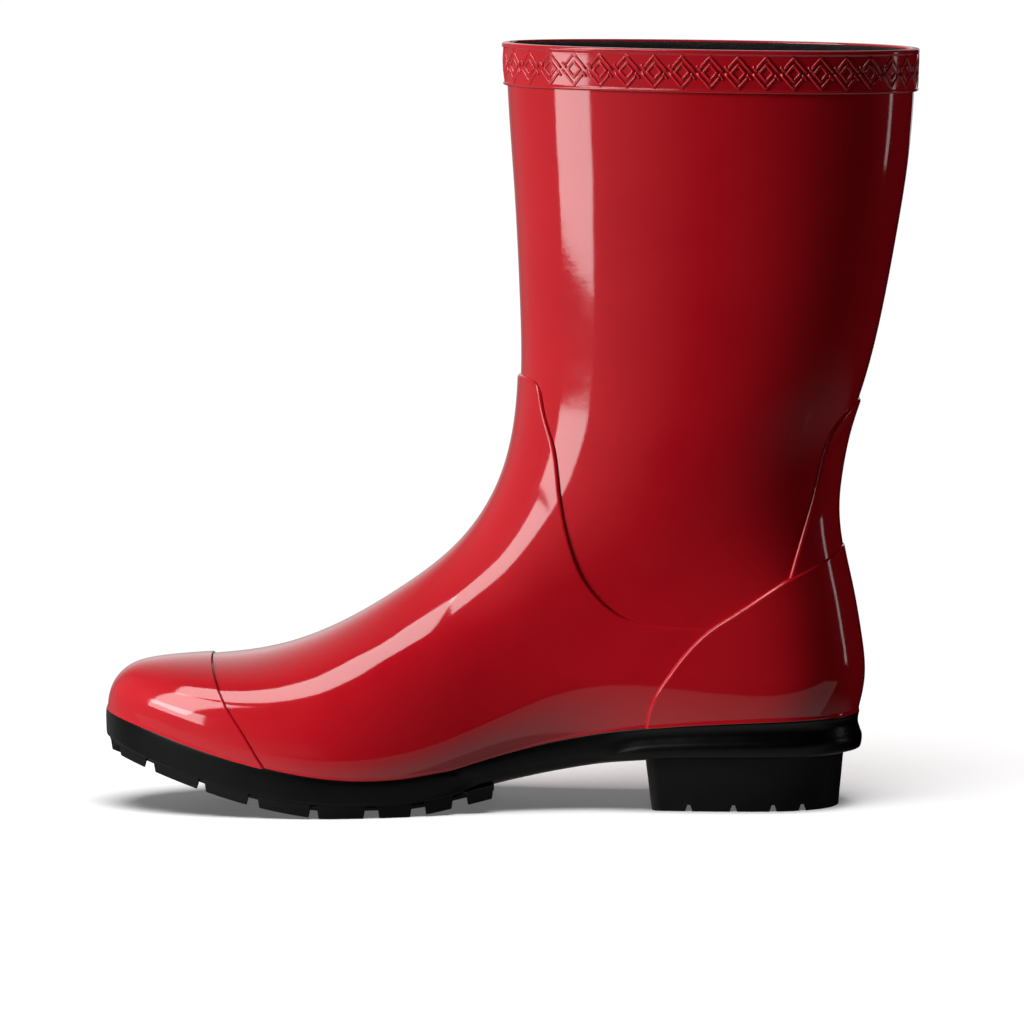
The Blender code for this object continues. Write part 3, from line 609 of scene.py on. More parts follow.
def skin(name, sheet, node, look, seam, rise, radius, base):
    """A layer of the wall. Its own seam raises it over what lies under it, and a lip ends it on the sole."""
    if seam:
        for share in EDGE_STEPS:
            sheet.split(seam, share * radius)
    angle, level = sheet.params.T
    points, normal = surface(angle, level), outward(angle, level)
    height = np.full(len(points), base)
    tilt = np.zeros_like(points)
    if seam:
        near = sheet.values[seam] < 2 * radius
        direction = np.zeros_like(points)
        direction[near] = seam_field(points[near], normal[near], seam)[1]
        amount = rise(points) if callable(rise) else rise
        up, slope = raised(sheet.values[seam], amount, radius)
        lip, fall = hem(points)
        height = height + up + lip
        upward = np.array([0.0, 0.0, 1.0]) - normal * normal[:, 2:]
        tilt = slope[:, None] * direction + fall[:, None] * upward
    moved = points + normal * height[:, None]
    add_piece(name, moved, sheet.faces, look, node, normals=unit(normal - tilt))


# ---- the red upper

UNDERLAP = 1.5  # how far a layer runs on under the next one
COLUMNS = 480
UP_ROWS = 270
NEAR_SOLE = [0, 0.0012, 0.0026, 0.0042, 0.006, 0.008, 0.0102, 0.0126, 0.0152, 0.018]  # levels of the lip
LIP, LIP_HEIGHT = 0.4, 1.6
VAMP_RISE = 1.2
VAMP_THIN, VAMP_THINS = 0.4, (34, 68)


def vamp_rise(points):
    """The vamp thins towards the counter, so that its edge dies away there."""
    return VAMP_THIN + (VAMP_RISE - VAMP_THIN) * (1 - blend(points[:, 0], VAMP_THINS))


# name, node, the seams it runs on under, its own seam, its rise and radius, height under it
LAYERS = [
    ("leg", "leg_shell", ("vamp", "counter", "stay"), None, 0.0, 1.0, 0.0),
    ("vamp", "vamp_overlay", ("cap", "counter"), "vamp", vamp_rise, 1.3, 0.0),
    ("cap", "toe_cap", (), "cap", 0.75, 0.9, VAMP_RISE - 0.02),
    ("stay", "back_stay", ("counter",), "stay", 1.05, 1.2, 0.0),
    ("counter", "heel_counter", (), "counter", 1.55, 1.4, 0.0),
]


def build_upper(looks):
    whole = Sheet(COLUMNS, np.concatenate([NEAR_SOLE, np.linspace(0.021, 1, UP_ROWS)]))
    whole.measure()
    for name, node, covers, seam, rise, radius, base in LAYERS:
        sheet = copy.deepcopy(whole)
        for cover in covers:
            sheet.keep(cover, high=UNDERLAP)
        if seam:
            sheet.split(seam, 0.0)
            sheet.keep(seam, low=0.0)
        skin(name, sheet, node, looks["red"], seam, rise, radius, base)


# Section of the band: out from the reference surface, and up from the rim.
BAND_SECTION = [
    (0, -15.6), (0.85, -15.5), (1.42, -15.15), (1.52, -14.75), (1.34, -14.4), (1.05, -14.15), (0.98, -13.6),
    (0.98, -9), (0.98, -4), (0.98, -2.3), (1.04, -1.85), (1.36, -1.5), (1.46, -0.9), (1.3, -0.3), (0.8, 0),
    (-0.4, 0.06), (-1.2, -0.06), (-1.7, -0.5), (-1.95, -1.4), (-2.1, -7),
]
BAND_FIELD = (0.98, -8.05)  # the middle of the band's flat field, on the same section
DIAMOND_PITCH = 10.15
DIAMOND = (5.0, 5.6)  # half its width and half its height
INNER_DIAMOND = 0.5
# A side of a diamond ends at these shares of its half width and half height, past its corner and short of it.
LONG_END, SHORT_END = (0.96, 0.04), (0.72, 0.28)
KNOT_OFFSET, KNOT_SHIFT, KNOT_HALF = 1.75, 0.4, 1.25  # the short bars between two diamonds
RIB, RIB_HEIGHT = 0.55, 0.42  # half width and height of the raised lines
RIB_SECTION = [(-1, -0.12), (-0.82, 0.6), (-0.4, 0.95), (0, 1.0), (0.4, 0.95), (0.82, 0.6), (1, -0.12)]


def rim_frames(angle):
    """Points of the rim, the outward normals there, and the unit directions up the wall."""
    level = np.ones_like(angle)
    top = surface(angle, level)
    return top, outward(angle, level), unit(top - surface(angle, level - 0.02))


def smooth_section(section, count):
    curve, length = path(section)
    return curve(np.linspace(0, length, count))


def build_band(looks):
    around = 2 * COLUMNS
    top, normal, up = rim_frames(turns(around))
    rings = [top + normal * out + up * rise for out, rise in smooth_section(BAND_SECTION, 110)]
    faces = tube_faces(len(rings), around, flip=True)
    add_piece("band", np.concatenate(rings), faces, looks["band"], "top_band")

    fine = np.linspace(0, 2 * math.pi, 6001)
    rim, out_dir, _ = rim_frames(fine)
    field = rim + out_dir * BAND_FIELD[0]
    travel = chord_lengths(field)
    number = int(round(travel[-1] / DIAMOND_PITCH))
    pitch = travel[-1] / number

    def on_band(along, rise, out):
        """Points of the band's field, by the distance round it and the distance up from its middle."""
        where = np.interp(np.asarray(along) % travel[-1], travel, fine)
        base, direction, upward = rim_frames(where)
        rise = np.asarray(rise, float)[:, None] + BAND_FIELD[1]
        return base + direction * (BAND_FIELD[0] + np.asarray(out)[:, None]) + upward * rise

    def ridge(line, closed):
        """A rounded rib along a line of (along, up) points on the band."""
        line = np.array(line, float)
        following = np.roll(line, -1, axis=0) if closed else line[1:]
        starts = line if closed else line[:-1]
        steps = [a + (b - a) * t for a, b in zip(starts, following) for t in np.linspace(0, 1, 5)[:-1]]
        steps = np.array(steps if closed else steps + [line[-1]])
        ahead = np.roll(steps, -1, axis=0) - steps
        behind = steps - np.roll(steps, 1, axis=0)
        if not closed:
            ahead[-1], behind[0] = behind[-1], ahead[0]
        across = mitres(ahead, behind)
        count = len(steps)
        rows = [
            on_band(*(steps + across * (side * RIB)).T, np.full(count, high * RIB_HEIGHT))
            for side, high in RIB_SECTION
        ]
        width, faces = len(rows), []
        for i in range(count if closed else count - 1):
            a, b = i * width, (i + 1) % count * width
            faces += [(a + j, b + j, b + j + 1, a + j + 1) for j in range(width - 1)]
        if not closed:
            faces += end_faces(count, width)
        return np.stack(rows, 1).reshape(-1, 3), faces

    parts = []
    half, tall = DIAMOND
    slope = np.array([half, tall]) / math.hypot(half, tall)
    across = np.array([-slope[1], slope[0]])
    a, b = half * INNER_DIAMOND, tall * INNER_DIAMOND
    for n in range(number):
        middle = n * pitch
        parts.append(ridge([(middle - a, 0), (middle, b), (middle + a, 0), (middle, -b)], True))
        for side in (1, -1):
            long_end = (middle - side * half * LONG_END[0], side * tall * LONG_END[1])
            short_end = (middle + side * half * SHORT_END[0], side * tall * SHORT_END[1])
            parts.append(ridge([long_end, (middle, side * tall), short_end], False))
            knot = np.array([middle + pitch / 2, 0]) + side * (across * KNOT_OFFSET + slope * KNOT_SHIFT)
            parts.append(ridge([knot - slope * KNOT_HALF, knot + slope * KNOT_HALF], False))
    recalculate(add_piece("band_frieze", *joined(parts), looks["band"], slot="top_band"))


# ---- the black sole

# Sections of the side wall: out from the feather line in plan, and the share of the way down.
FORE_SECTION = [
    (0.2, 0), (1.2, 0), (1.85, 0), (2.2, 0.03), (2.38, 0.1), (2.45, 0.25), (2.45, 0.45), (2.4, 0.65),
    (2.35, 0.8), (2.28, 0.92), (1.95, 0.985), (1.2, 1), (-0.6, 1),
]
WAIST_SECTION = [
    (0.2, 0), (1.2, 0), (1.6, 0), (1.85, 0.04), (1.95, 0.12), (1.95, 0.25), (1.9, 0.4), (1.75, 0.55),
    (1.4, 0.7), (0.7, 0.84), (-0.5, 0.95), (-2.2, 0.995), (-4.6, 1),
]
HEEL_SECTION = [
    (0.2, 0), (1.2, 0), (1.75, 0.01), (2.05, 0.05), (1.7, 0.14), (1.5, 0.27), (1.9, 0.42), (2.6, 0.57),
    (3, 0.7), (2.85, 0.82), (1.9, 0.93), (-0.2, 0.99), (-3.4, 1),
]
SECTION_POINTS = 60
WAIST_BEGINS, HEEL_BEGINS = (-22, 4), (34, 60)  # X between which one section turns into the next


def build_outsole(looks):
    count = 2 * COLUMNS
    plan, normal = feather_plan(count)
    heel = blend(plan[:, :1], HEEL_BEGINS)
    waist = blend(plan[:, :1], WAIST_BEGINS) * (1 - heel)
    fore = 1 - heel - waist
    sections = [smooth_section(s, SECTION_POINTS) for s in (FORE_SECTION, WAIST_SECTION, HEEL_SECTION)]
    rings = []
    for at_fore, at_waist, at_heel in zip(*sections):
        here = fore * at_fore + waist * at_waist + heel * at_heel
        moved = plan + normal * here[:, :1]
        top, low = feather_height(moved[:, 0]), sole_underside(moved[:, 0])
        rings.append(np.column_stack([moved, top - here[:, 1] * (top - low)]))
    faces = tube_faces(len(rings), count) + ladder((len(rings) - 1) * count, count)
    recalculate(add_piece("sole", np.concatenate(rings), faces, looks["sole"], "outsole"))


def prism_block(outline, low, high, inset):
    """(points, faces) of a block on a plan outline, between two heights that are functions of X. Its lower end
    is smaller."""
    inward = mitres(np.roll(outline, -1, axis=0) - outline, outline - np.roll(outline, 1, axis=0), 0.5)
    small = outline + inward * inset
    upper = np.column_stack([outline, high(outline[:, 0])])
    lower = np.column_stack([small, low(small[:, 0])])
    count = len(outline)
    faces = [(i, (i + 1) % count, count + (i + 1) % count, count + i) for i in range(count)]
    for first in (0, count):
        last = first + count - 1
        faces += [(first + i, first + i + 1, last - 1 - i, last - i) for i in range(count // 2 - 1)]
    return np.concatenate([upper, lower]), faces


def strip_outline(x, low_y, high_y):
    """Outline of a strip in plan: out along one side and back along the other."""
    return np.concatenate([np.column_stack([x, low_y]), np.column_stack([x, high_y])[::-1]])


def build_tread(looks):
    medial, lateral, (toe, _) = plan_sides(SOLE_PROUD - LUG_SET_IN)
    starts = [toe + LUG_SET_IN, *(x + width / 2 for x, width in TREAD_GROOVES)]
    ends = [*(x - width / 2 for x, width in TREAD_GROOVES), TREAD_END]
    top = lambda x: sole_underside(x) + LUG_BITE
    near, far = LONG_GROOVE - LONG_GROOVE_HALF, LONG_GROOVE + LONG_GROOVE_HALF
    parts = []
    for start, end in zip(starts, ends):
        x = np.linspace(start, end, LUG_COLUMNS)
        bands = [
            (medial(x), np.full(LUG_COLUMNS, -far)),
            (np.maximum(medial(x), -near), np.minimum(lateral(x), near)),
            (np.full(LUG_COLUMNS, far), lateral(x)),
        ]
        for low_y, high_y in bands:
            wide = high_y - low_y > LUG_LEAST
            if wide.sum() >= LUG_COLUMNS // 2:
                outline = strip_outline(x[wide], low_y[wide], high_y[wide])
                parts.append(prism_block(outline, tread_underside, top, LUG_TAPER))
    lugs = add_piece("tread_lugs", *joined(parts), looks["tread"], "forefoot_tread")
    recalculate(lugs)
    soften(lugs, LUG_ROUNDING, 2, 35)

    # The plate that the lugs stand on, as square sections from the toe to the waist.
    x = np.linspace(toe + PLATE_START, TREAD_END, 60)
    medial, lateral, _ = plan_sides(SOLE_PROUD - PLATE_SET_IN)
    floor = lambda x: np.minimum(tread_underside(x) + GROOVE_DEPTH, sole_underside(x) - PLATE_PROUD)
    corners = ((medial, floor), (lateral, floor), (lateral, top), (medial, top))
    points = np.stack([np.column_stack([x, y(x), z(x)]) for y, z in corners], 1).reshape(-1, 3)
    faces = tube_faces(len(x), 4) + [face[::-1] for face in end_faces(len(x), 4)]
    recalculate(add_piece("tread_plate", points, faces, looks["tread"], slot="forefoot_tread"))


def heel_outline(out, breast):
    """Plan of the heel: the feather line moved out, cut off at the breast with small rounded corners."""
    medial, lateral, (_, back) = plan_sides(out)
    x = breast + (back - 0.02 - breast) * np.sin(np.linspace(0, math.pi / 2, 120))
    near = np.clip(1 - (x - breast) / HEEL_CORNER, 0, 1)
    drawn_in = HEEL_CORNER * (1 - np.sqrt(1 - near**2))
    return strip_outline(x, *(y - np.sign(y) * drawn_in for y in (medial(x), lateral(x))))


def build_heel(looks):
    rings = []
    for share in np.linspace(0, 1, 14):
        out = HEEL_OUT[0] + (HEEL_OUT[1] - HEEL_OUT[0]) * share
        outline = heel_outline(out, HEEL_BREAST + BREAST_SLOPE * share)
        rings.append(np.column_stack([outline, (1 - share) * (sole_underside(outline[:, 0]) + HEEL_BITE)]))
    around = len(rings[0])
    faces = tube_faces(len(rings), around) + [face[::-1] for face in end_faces(len(rings), around)]
    made = add_piece("heel", np.concatenate(rings), faces, looks["heel"], "heel_block")
    recalculate(made)
    wide, narrow, high = NOTCH
    for x in HEEL_NOTCHES:
        corners = [(x - wide, -1.0), (x + wide, -1.0), (x + narrow, high), (x - narrow, high)]
        points = [(a, y, b) for y in (-CUTTER_REACH, CUTTER_REACH) for a, b in corners]
        mesh = bpy.data.meshes.new("notch")
        faces = [face[::-1] for face in tube_faces(2, 4) + end_faces(2, 4)]
        mesh.from_pydata(metres(points).tolist(), [], faces)
        cut = made.modifiers.new("notch", "BOOLEAN")
        cut.operation, cut.object, cut.solver = "DIFFERENCE", link("notch", mesh), "EXACT"
    cutters = [step.object for step in made.modifiers]
    soften(made, HEEL_ROUNDING, 3, 40)
    apply_modifiers(made)
    for cutter in cutters:
        bpy.data.objects.remove(cutter)


def apply_modifiers(made):
    shape = bpy.data.meshes.new_from_object(made.evaluated_get(bpy.context.evaluated_depsgraph_get()))
    old = made.data
    made.modifiers.clear()
    made.data = shape
    bpy.data.meshes.remove(old)


# ---- inside

# The pile of the lining: how far its tufts stray, how high its waves are, how many waves go round, and how far
# they move on from one row to the next.
TUFT, WAVE, WAVES, WAVE_DRIFT = 0.18, 0.14, 61, 0.9
PLUSH_ROWS = 260
PLUSH_SPLIT = 0.44  # level at which the lining of the foot ends and that of the leg begins
TUCK_LEVEL, TUCK_SPAN, TUCK_OUT = 0.989, 0.0096, 1.2  # how the lining is tucked under the rim


def build_linings(looks):
    rng = np.random.default_rng(7)
    inner = -(SHELL + STIFFENER + 2 * STACK_GAP + LINING)
    angle = turns(COLUMNS)
    leg = np.concatenate([np.linspace(PLUSH_SPLIT, 0.988, PLUSH_ROWS), np.linspace(0.9895, 0.9985, 9)])
    foot = np.linspace(-0.03, PLUSH_SPLIT, PLUSH_ROWS)
    for name, node, levels in (("leg_plush", "leg_lining", leg), ("foot_plush", "foot_lining", foot)):
        rows = []
        for k, level in enumerate(levels):
            tuck = np.clip((level - TUCK_LEVEL) / TUCK_SPAN, 0, 1)
            out = inner + (LINING + TUCK_OUT) * (1 - math.sqrt(1 - tuck**2))
            tufts = rng.normal(0, TUFT, COLUMNS)
            pile = tufts + WAVE * np.sin(angle * WAVES + k * WAVE_DRIFT) * rng.random(COLUMNS)
            rows.append(wall(angle, np.full(COLUMNS, level), out + pile * (1 - 0.6 * tuck)))
        add_piece(name, np.concatenate(rows), tube_faces(len(rows), COLUMNS), looks["lining"], node)


def squared(turn, power):
    """A cosine or sine made fuller, towards the side of a square."""
    return np.sign(turn) * np.abs(turn) ** power


def cushion(name, node, look, low, high, lift):
    """A padded plate with rounded edges that follows the inside of the sole. Its heights are functions of X.
    lift is how far its upper edges stand up."""
    medial, lateral, (toe, heel) = plan_sides(FOOTBED_OUT)
    x = (toe + heel) / 2 - (heel - toe - 0.1) / 2 * np.cos(np.linspace(0, math.pi, 150))
    phi = turns(CUSHION_COLUMNS)
    flat, tall = squared(np.cos(phi), CUSHION_SIDES), squared(np.sin(phi), CUSHION_CROWN)
    sections = []
    for at in x:
        left, right, base, top = (float(side(at)) for side in (medial, lateral, low, high))
        edge = lift(at) * np.clip(np.abs(flat), 0, 1) ** 4 * (tall > 0)
        y = (left + right) / 2 + (right - left) / 2 * flat
        z = (base + top) / 2 + (top - base) / 2 * tall + edge
        sections.append(np.column_stack([np.full(len(phi), at), y, z]))
    faces = tube_faces(len(x), len(phi)) + end_faces(len(x), len(phi))
    made = add_piece(name, np.concatenate(sections), faces, look, node, body="footbed")
    recalculate(made)


def build_footbed(looks):
    low = lambda x: board_top(x) + STACK_GAP
    high = lambda x: low(x) + FOAM
    cushion("footbed_foam", "footbed", looks["foam"], low, high, lambda x: 0.0)
    low_fleece = lambda x: high(x) + 0.02
    high_fleece = lambda x: high(x) + STACK_GAP + FLEECE
    lift = lambda x: FLEECE_LIFT * blend(x, FLEECE_LIFTS)
    cushion("footbed_fleece", "footbed_cover", looks["fleece"], low_fleece, high_fleece, lift)


# ---- materials


def set_inputs(tree, node, inputs):
    """Gives each input named a plain value, or joins it to another node's output."""
    for name, value in inputs.items():
        if isinstance(value, bpy.types.NodeSocket):
            tree.links.new(value, node.inputs[name])
        else:
            node.inputs[name].default_value = value


def add_node(tree, kind, inputs):
    """The outputs of a new shader node."""
    made = tree.nodes.new("ShaderNode" + kind)
    set_inputs(tree, made, inputs)
    return made.outputs


def noise(tree, scale, detail=4.0, roughness=0.55, stretch=None):
    """A noise pattern in the object's own metres, so that scale counts features per metre."""
    place = add_node(tree, "TexCoord", {})["Object"]
    if stretch:
        place = add_node(tree, "Mapping", {"Vector": place, "Scale": stretch})["Vector"]
    inputs = {"Vector": place, "Scale": scale, "Detail": detail, "Roughness": roughness}
    return add_node(tree, "TexNoise", inputs)["Fac"]


def ramp(tree, source, stops):
    """Colours along a value: stops are (position, colour)."""
    made = tree.nodes.new("ShaderNodeValToRGB")
    edges = made.color_ramp.elements
    while len(edges) < len(stops):
        edges.new(0.5)
    for edge, (position, colour) in zip(edges, stops):
        edge.position = position
        edge.color = (*colour, 1)
    tree.links.new(source, made.inputs["Fac"])
    return made.outputs["Color"]


def spread(tree, source, low, high, start=0.3, end=0.7):
    """A value carried over from one span to another, and held at its ends."""
    inputs = {"Value": source, "From Min": start, "From Max": end, "To Min": low, "To Max": high}
    return add_node(tree, "MapRange", inputs)["Result"]


def bump(tree, layers):
    """Layers of (height source, strength, distance in metres), one upon another."""
    before = {}
    for source, strength, distance in layers:
        inputs = {"Height": source, "Strength": strength, "Distance": distance, **before}
        before = {"Normal": add_node(tree, "Bump", inputs)["Normal"]}
    return before["Normal"]


def new_look(name):
    """(material, its node tree, its shader)."""
    made = bpy.data.materials.new(name)
    made.use_nodes = True
    return made, made.node_tree, made.node_tree.nodes["Principled BSDF"]


def moulded(name, shades, rough, values, cloud, polish, layers):
    """A moulded material: cloudy colour and uneven polish, each from a noise pattern, and layers of bumps."""
    made, tree, shader = new_look(name)
    set_inputs(tree, shader, {
        **values,
        "Base Color": ramp(tree, noise(tree, *cloud), shades),
        "Roughness": spread(tree, noise(tree, *polish), *rough),
        "Normal": bump(tree, [(noise(tree, *pattern), *amount) for pattern, amount in layers]),
    })
    return made


def pvc(name, shades, rough, ripple=0.03):
    """Glossy PVC with faint ripples."""
    values = {"IOR": 1.5, "Coat Weight": 0.25, "Coat Roughness": 0.06}
    layers = [((45, 2, 0.4), (ripple, 0.004)), ((900, 3, 0.5), (0.02, 0.0004))]
    return moulded(name, shades, rough, values, (22, 5, 0.6), (70, 6, 0.65), layers)


def rubber(name, shades, rough, grain):
    """Satin rubber with a fine grain and dust-pale patches."""
    values = {"IOR": 1.5, "Specular IOR Level": 0.26}
    layers = [((60, 2, 0.5), (0.05, 0.003)), ((2600, 4, 0.6), (grain, 0.0003))]
    return moulded(name, shades, rough, values, (40, 6, 0.65), (120, 5, 0.6), layers)


def cloth(name, shades, pile_scale, strength, sheen):
    """A soft pile: clumps over fibres, with a pale sheen along its edges."""
    made, tree, shader = new_look(name)
    clumps = noise(tree, pile_scale, 8, 0.75)
    fibres = noise(tree, pile_scale * 3.5, 6, 0.8, (1.0, 1.0, 0.35))
    set_inputs(tree, shader, {
        "Base Color": ramp(tree, clumps, shades), "Roughness": 0.95, "Specular IOR Level": 0.2,
        "Sheen Weight": sheen, "Sheen Roughness": 0.45, "Sheen Tint": (0.5, 0.48, 0.5, 1),
        "Normal": bump(tree, [(clumps, strength, 0.0012), (fibres, strength * 0.8, 0.0006)]),
    })
    return made


def streaked(name, shades, rough=0.85, metallic=0.0, stretch=(1, 6, 1)):
    """Board, foam, cork or brushed steel: streaks, or specks where nothing is stretched."""
    made, tree, shader = new_look(name)
    streaks = noise(tree, 180, 8, 0.7, stretch)
    set_inputs(tree, shader, {
        "Base Color": ramp(tree, streaks, shades), "Roughness": rough, "Metallic": metallic,
        "Normal": bump(tree, [(streaks, 0.3, 0.0005)]),
    })
    return made


def make_looks():
    red = [(0.25, (0.5, 0.0052, 0.0145)), (0.5, (0.54, 0.008, 0.016)), (0.78, (0.575, 0.0095, 0.0185))]
    band = [(0.25, (0.51, 0.007, 0.014)), (0.5, (0.55, 0.009, 0.018)), (0.78, (0.58, 0.012, 0.022))]
    black = [(0.3, (0.0011, 0.001, 0.0011)), (0.6, (0.0017, 0.0015, 0.0016)), (0.8, (0.0028, 0.0026, 0.0027))]
    worn = [(0.3, (0.0024, 0.0021, 0.0022)), (0.6, (0.0036, 0.0032, 0.0033)), (0.85, (0.0062, 0.0058, 0.006))]
    plush = [(0.3, (0.004, 0.004, 0.0045)), (0.55, (0.012, 0.0115, 0.012)), (0.75, (0.028, 0.027, 0.028))]
    fleece = [(0.3, (0.01, 0.01, 0.011)), (0.55, (0.026, 0.025, 0.026)), (0.75, (0.06, 0.058, 0.06))]
    foam = [(0.35, (0.02, 0.02, 0.022)), (0.65, (0.05, 0.05, 0.054))]
    return {
        "red": pvc("red_pvc", red, (0.05, 0.09)),
        "band": pvc("band_pvc", band, (0.09, 0.15), 0.04),
        "sole": rubber("sole_rubber", black, (0.26, 0.34), 0.1),
        "tread": rubber("tread_rubber", worn, (0.42, 0.6), 0.2),
        "heel": rubber("heel_rubber", worn, (0.4, 0.55), 0.18),
        "lining": cloth("lining_plush", plush, 750, 0.9, 0.25),
        "fleece": cloth("footbed_fleece", fleece, 520, 1.0, 0.4),
        "foam": streaked("footbed_foam", foam, 0.9, 0, (1, 1, 1)),
    }


def dress_hidden_nodes():
    """The pieces that stay as drawn, because the layers over them hide them."""
    fibre = streaked("stiff_fibre", [(0.3, (0.42, 0.34, 0.22)), (0.7, (0.6, 0.51, 0.37))])
    board = streaked("board_fibre", [(0.3, (0.3, 0.22, 0.14)), (0.7, (0.48, 0.38, 0.26))])
    cork = streaked("filler_cork", [(0.3, (0.2, 0.12, 0.06)), (0.7, (0.44, 0.3, 0.17))], 0.9, 0, (1, 1, 1))
    steel = streaked("shank_steel", [(0.3, (0.5, 0.5, 0.52)), (0.7, (0.68, 0.68, 0.7))], 0.35, 1, (1, 9, 1))
    red = pvc("inner_pvc", [(0.3, (0.46, 0.011, 0.018)), (0.7, (0.52, 0.013, 0.021))], (0.25, 0.4))
    wanted = {
        "toe_puff": fibre, "heel_stiffener": fibre, "insole_board": board, "midsole_filler": cork,
        "shank": steel, "foot_shell": red,
    }
    for name, look in wanted.items():
        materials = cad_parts[name].data.materials
        materials.clear()
        materials.append(look)


# ---- studio

# Lengths here are metres. The camera: its sensor and focal length in millimetres, its place, what it looks at.
SENSOR, LENS = 36.0, 266.2
CAMERA_PLACE, CAMERA_AIM = (0.0002, -2.75, 0.3877), (0.0002, 0.0, 0.1067)
FLOOR_RADIUS, FLOOR_GLOW = 0.34, 0.12
BACKDROP = 1.02
# What the gloss shows below the boot, on its toe side, and behind it, and where each of those fades away.
TABLE_GLOW, TABLE_FADE = 0.3, (-0.7, -0.3)
TOE_SIDE_GLOW, TOE_SIDE_FADE = 0.3, (-0.75, -0.1)
BACK_GLOW, BACK_FADE = 1.05, (0.0, 1.0)
BACK_TURN, BACK_END, BACK_RISE = (-0.5, -0.1), (0.0, 0.15), (-0.22, 0.25)
AIM_HEIGHT = 0.12  # what the panels face
# name, azimuth, elevation, distance, width, height, roll, radiance, what it lights
PANELS = [
    ("key_softbox", 54.5, 6.6, 0.55, 0.25, 0.13, -6, 4.6, "gloss"),
    ("bridge_softbox", 49, 32, 1.7, 0.62, 1.08, -14, 4.9, "gloss"),
    ("high_softbox", 42, 61.5, 1.7, 0.72, 0.64, 10, 4.9, "gloss"),
    ("rear_softbox", -99.5, 5.5, 1.5, 0.11, 0.56, 0, 1.4, "gloss"),
    ("lateral_softbox", 200, 14, 1.6, 0.28, 0.8, 0, 0.55, "gloss"),
    ("toe_fill", 63, 20, 1.5, 0.7, 0.7, 0, 12.2, "body"),
    ("heel_fill", -98, 8, 1.6, 0.8, 0.8, 0, 1.9, "body"),
    ("low_fill", 33, -18, 0.34, 0.25, 0.06, 0, 5.0, "body"),
    ("top_fill", 100, 75, 1.8, 1.0, 1.0, 0, 1.5, "body"),
    ("side_fill", 172, 12, 1.8, 1.0, 1.0, 0, 5.0, "body"),
    ("floor_light", 4, 73, 1.8, 1.6, 1.6, 0, 6.45, "floor"),
]
# The table before the boot, as the gloss low on it shows it: middle, size, radiance.
TABLE_SHEEN = ((0.0, -0.108, 0.002), (0.8, 0.115), 0.2)


def add_panel(name, azimuth, elevation, distance, width, height, roll, radiance, lights, receivers):
    """A soft light panel that faces the boot. Azimuth 0 is behind the camera, and grows towards the toe. It
    shows in the gloss only, or lights the body of the colour only, on the receivers."""
    turn, rise = math.radians(azimuth), math.radians(elevation)
    direction = Vector((-math.sin(turn) * math.cos(rise), -math.cos(turn) * math.cos(rise), math.sin(rise)))
    data = bpy.data.lights.new(name, "AREA")
    data.shape = "RECTANGLE"
    data.size, data.size_y = width, height
    data.energy = radiance * 4 * width * height
    made = link(name, data)
    facing = (-direction).to_track_quat("-Z", "Y").to_matrix()
    made.matrix_world = (
        Matrix.Translation(Vector((0, 0, AIM_HEIGHT)) + direction * distance)
        @ facing.to_4x4() @ Matrix.Rotation(math.radians(roll), 4, "Z")
    )
    made.visible_glossy = lights == "gloss"
    made.visible_diffuse = lights != "gloss"
    made.visible_camera = False
    made.light_linking.receiver_collection = receivers
    return made


def build_camera():
    data = bpy.data.cameras.new("camera")
    data.sensor_width = SENSOR
    data.lens = LENS
    data.clip_end = 60
    camera = link("camera", data)
    camera.location = CAMERA_PLACE
    camera.rotation_euler = (Vector(CAMERA_AIM) - camera.location).to_track_quat("-Z", "Y").to_euler()
    bpy.context.scene.camera = camera


def build_floor():
    work = bmesh.new()
    bmesh.ops.create_circle(work, cap_ends=True, segments=128, radius=FLOOR_RADIUS)
    mesh = bpy.data.meshes.new("floor")
    work.to_mesh(mesh)
    work.free()
    look, tree, shader = new_look("floor_white")
    set_inputs(tree, shader, {
        "Base Color": ramp(tree, noise(tree, 3, 2), [(0.3, (0.84, 0.84, 0.84)), (0.7, (0.88, 0.88, 0.88))]),
        "Roughness": 0.6, "Emission Color": (1, 1, 1, 1), "Emission Strength": FLOOR_GLOW,
    })
    mesh.materials.append(look)
    floor = link("floor", mesh)
    floor.visible_glossy = False
    floor.visible_diffuse = False
    floor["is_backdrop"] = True
    return floor


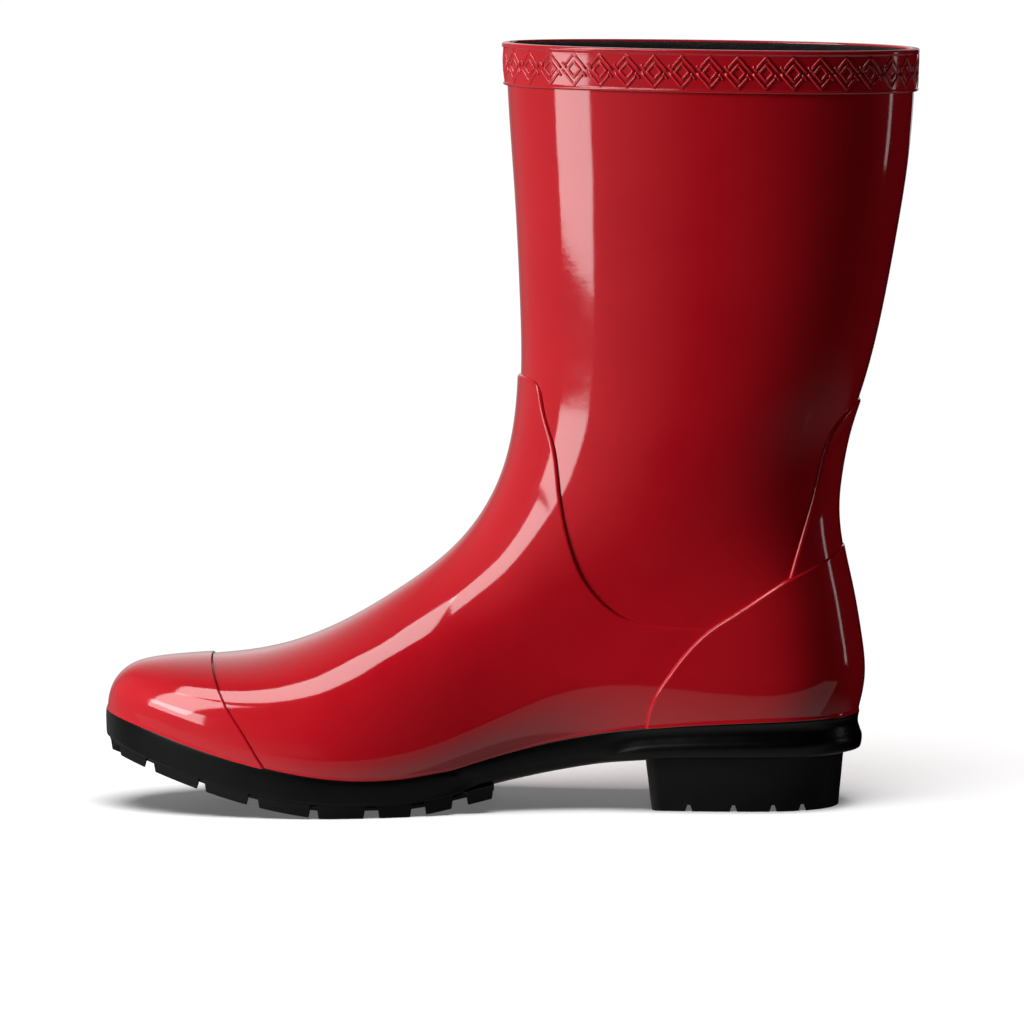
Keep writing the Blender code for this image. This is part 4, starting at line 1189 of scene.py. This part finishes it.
def build_world():
    """A white backdrop for the camera, soft glows for the gloss, and no light on the body of the colour."""
    world = bpy.data.worlds.new("studio")
    bpy.context.scene.world = world
    world.use_nodes = True
    tree = world.node_tree
    rays = add_node(tree, "LightPath", {})
    way = add_node(tree, "SeparateXYZ", {"Vector": add_node(tree, "TexCoord", {})["Generated"]})

    def combined(operation, *sources):
        made = tree.nodes.new("ShaderNodeMath")
        made.operation = operation
        for socket, source in zip(made.inputs, sources):
            tree.links.new(source, socket)
        return made.outputs["Value"]

    table = spread(tree, way["Z"], TABLE_GLOW, 0.0, *TABLE_FADE)
    toe_side = spread(tree, way["X"], TOE_SIDE_GLOW, 0.0, *TOE_SIDE_FADE)
    back = spread(tree, way["Y"], 0.0, BACK_GLOW, *BACK_FADE)
    for axis, low, high, span in (("X", 0, 1, BACK_TURN), ("X", 1, 0, BACK_END), ("Z", 0, 1, BACK_RISE)):
        back = combined("MULTIPLY", back, spread(tree, way[axis], low, high, *span))
    glow = combined("ADD", combined("ADD", table, toe_side), back)
    gloss = combined("MULTIPLY", glow, rays["Is Glossy Ray"])
    bright = add_node(tree, "Mix", {"Factor": rays["Is Camera Ray"], "A": gloss, "B": BACKDROP})["Result"]
    set_inputs(tree, tree.nodes["Background"], {"Color": (1, 1, 1, 1), "Strength": bright})


def build_lights(floor):
    """The floor has a light of its own, so that neither it nor the boot changes the other's."""
    floor_only, all_but_floor = (bpy.data.collections.new(name) for name in ("floor_only", "all_but_floor"))
    for group in (floor_only, all_but_floor):
        group.objects.link(floor)
    all_but_floor.collection_objects[0].light_linking.link_state = "EXCLUDE"
    middle, size, radiance = TABLE_SHEEN
    sheen = add_panel("table_sheen", 0, 0, 1, *size, 0, radiance, "gloss", all_but_floor)
    sheen.matrix_world = Matrix.Translation(middle) @ Matrix.Rotation(math.pi, 4, "X")
    for panel in PANELS:
        add_panel(*panel, floor_only if panel[-1] == "floor" else all_but_floor)


def main():
    bpy.context.scene.view_settings.view_transform = "Standard"
    build_camera()
    floor = build_floor()
    build_world()
    build_lights(floor)
    looks = make_looks()
    dress_hidden_nodes()
    build_upper(looks)
    build_band(looks)
    build_outsole(looks)
    build_tread(looks)
    build_heel(looks)
    build_linings(looks)
    build_footbed(looks)


main()

low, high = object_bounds()
boxes = {"cad": [list(corner) for corner in CAD_BOX], "visual": [list(low), list(high)]}
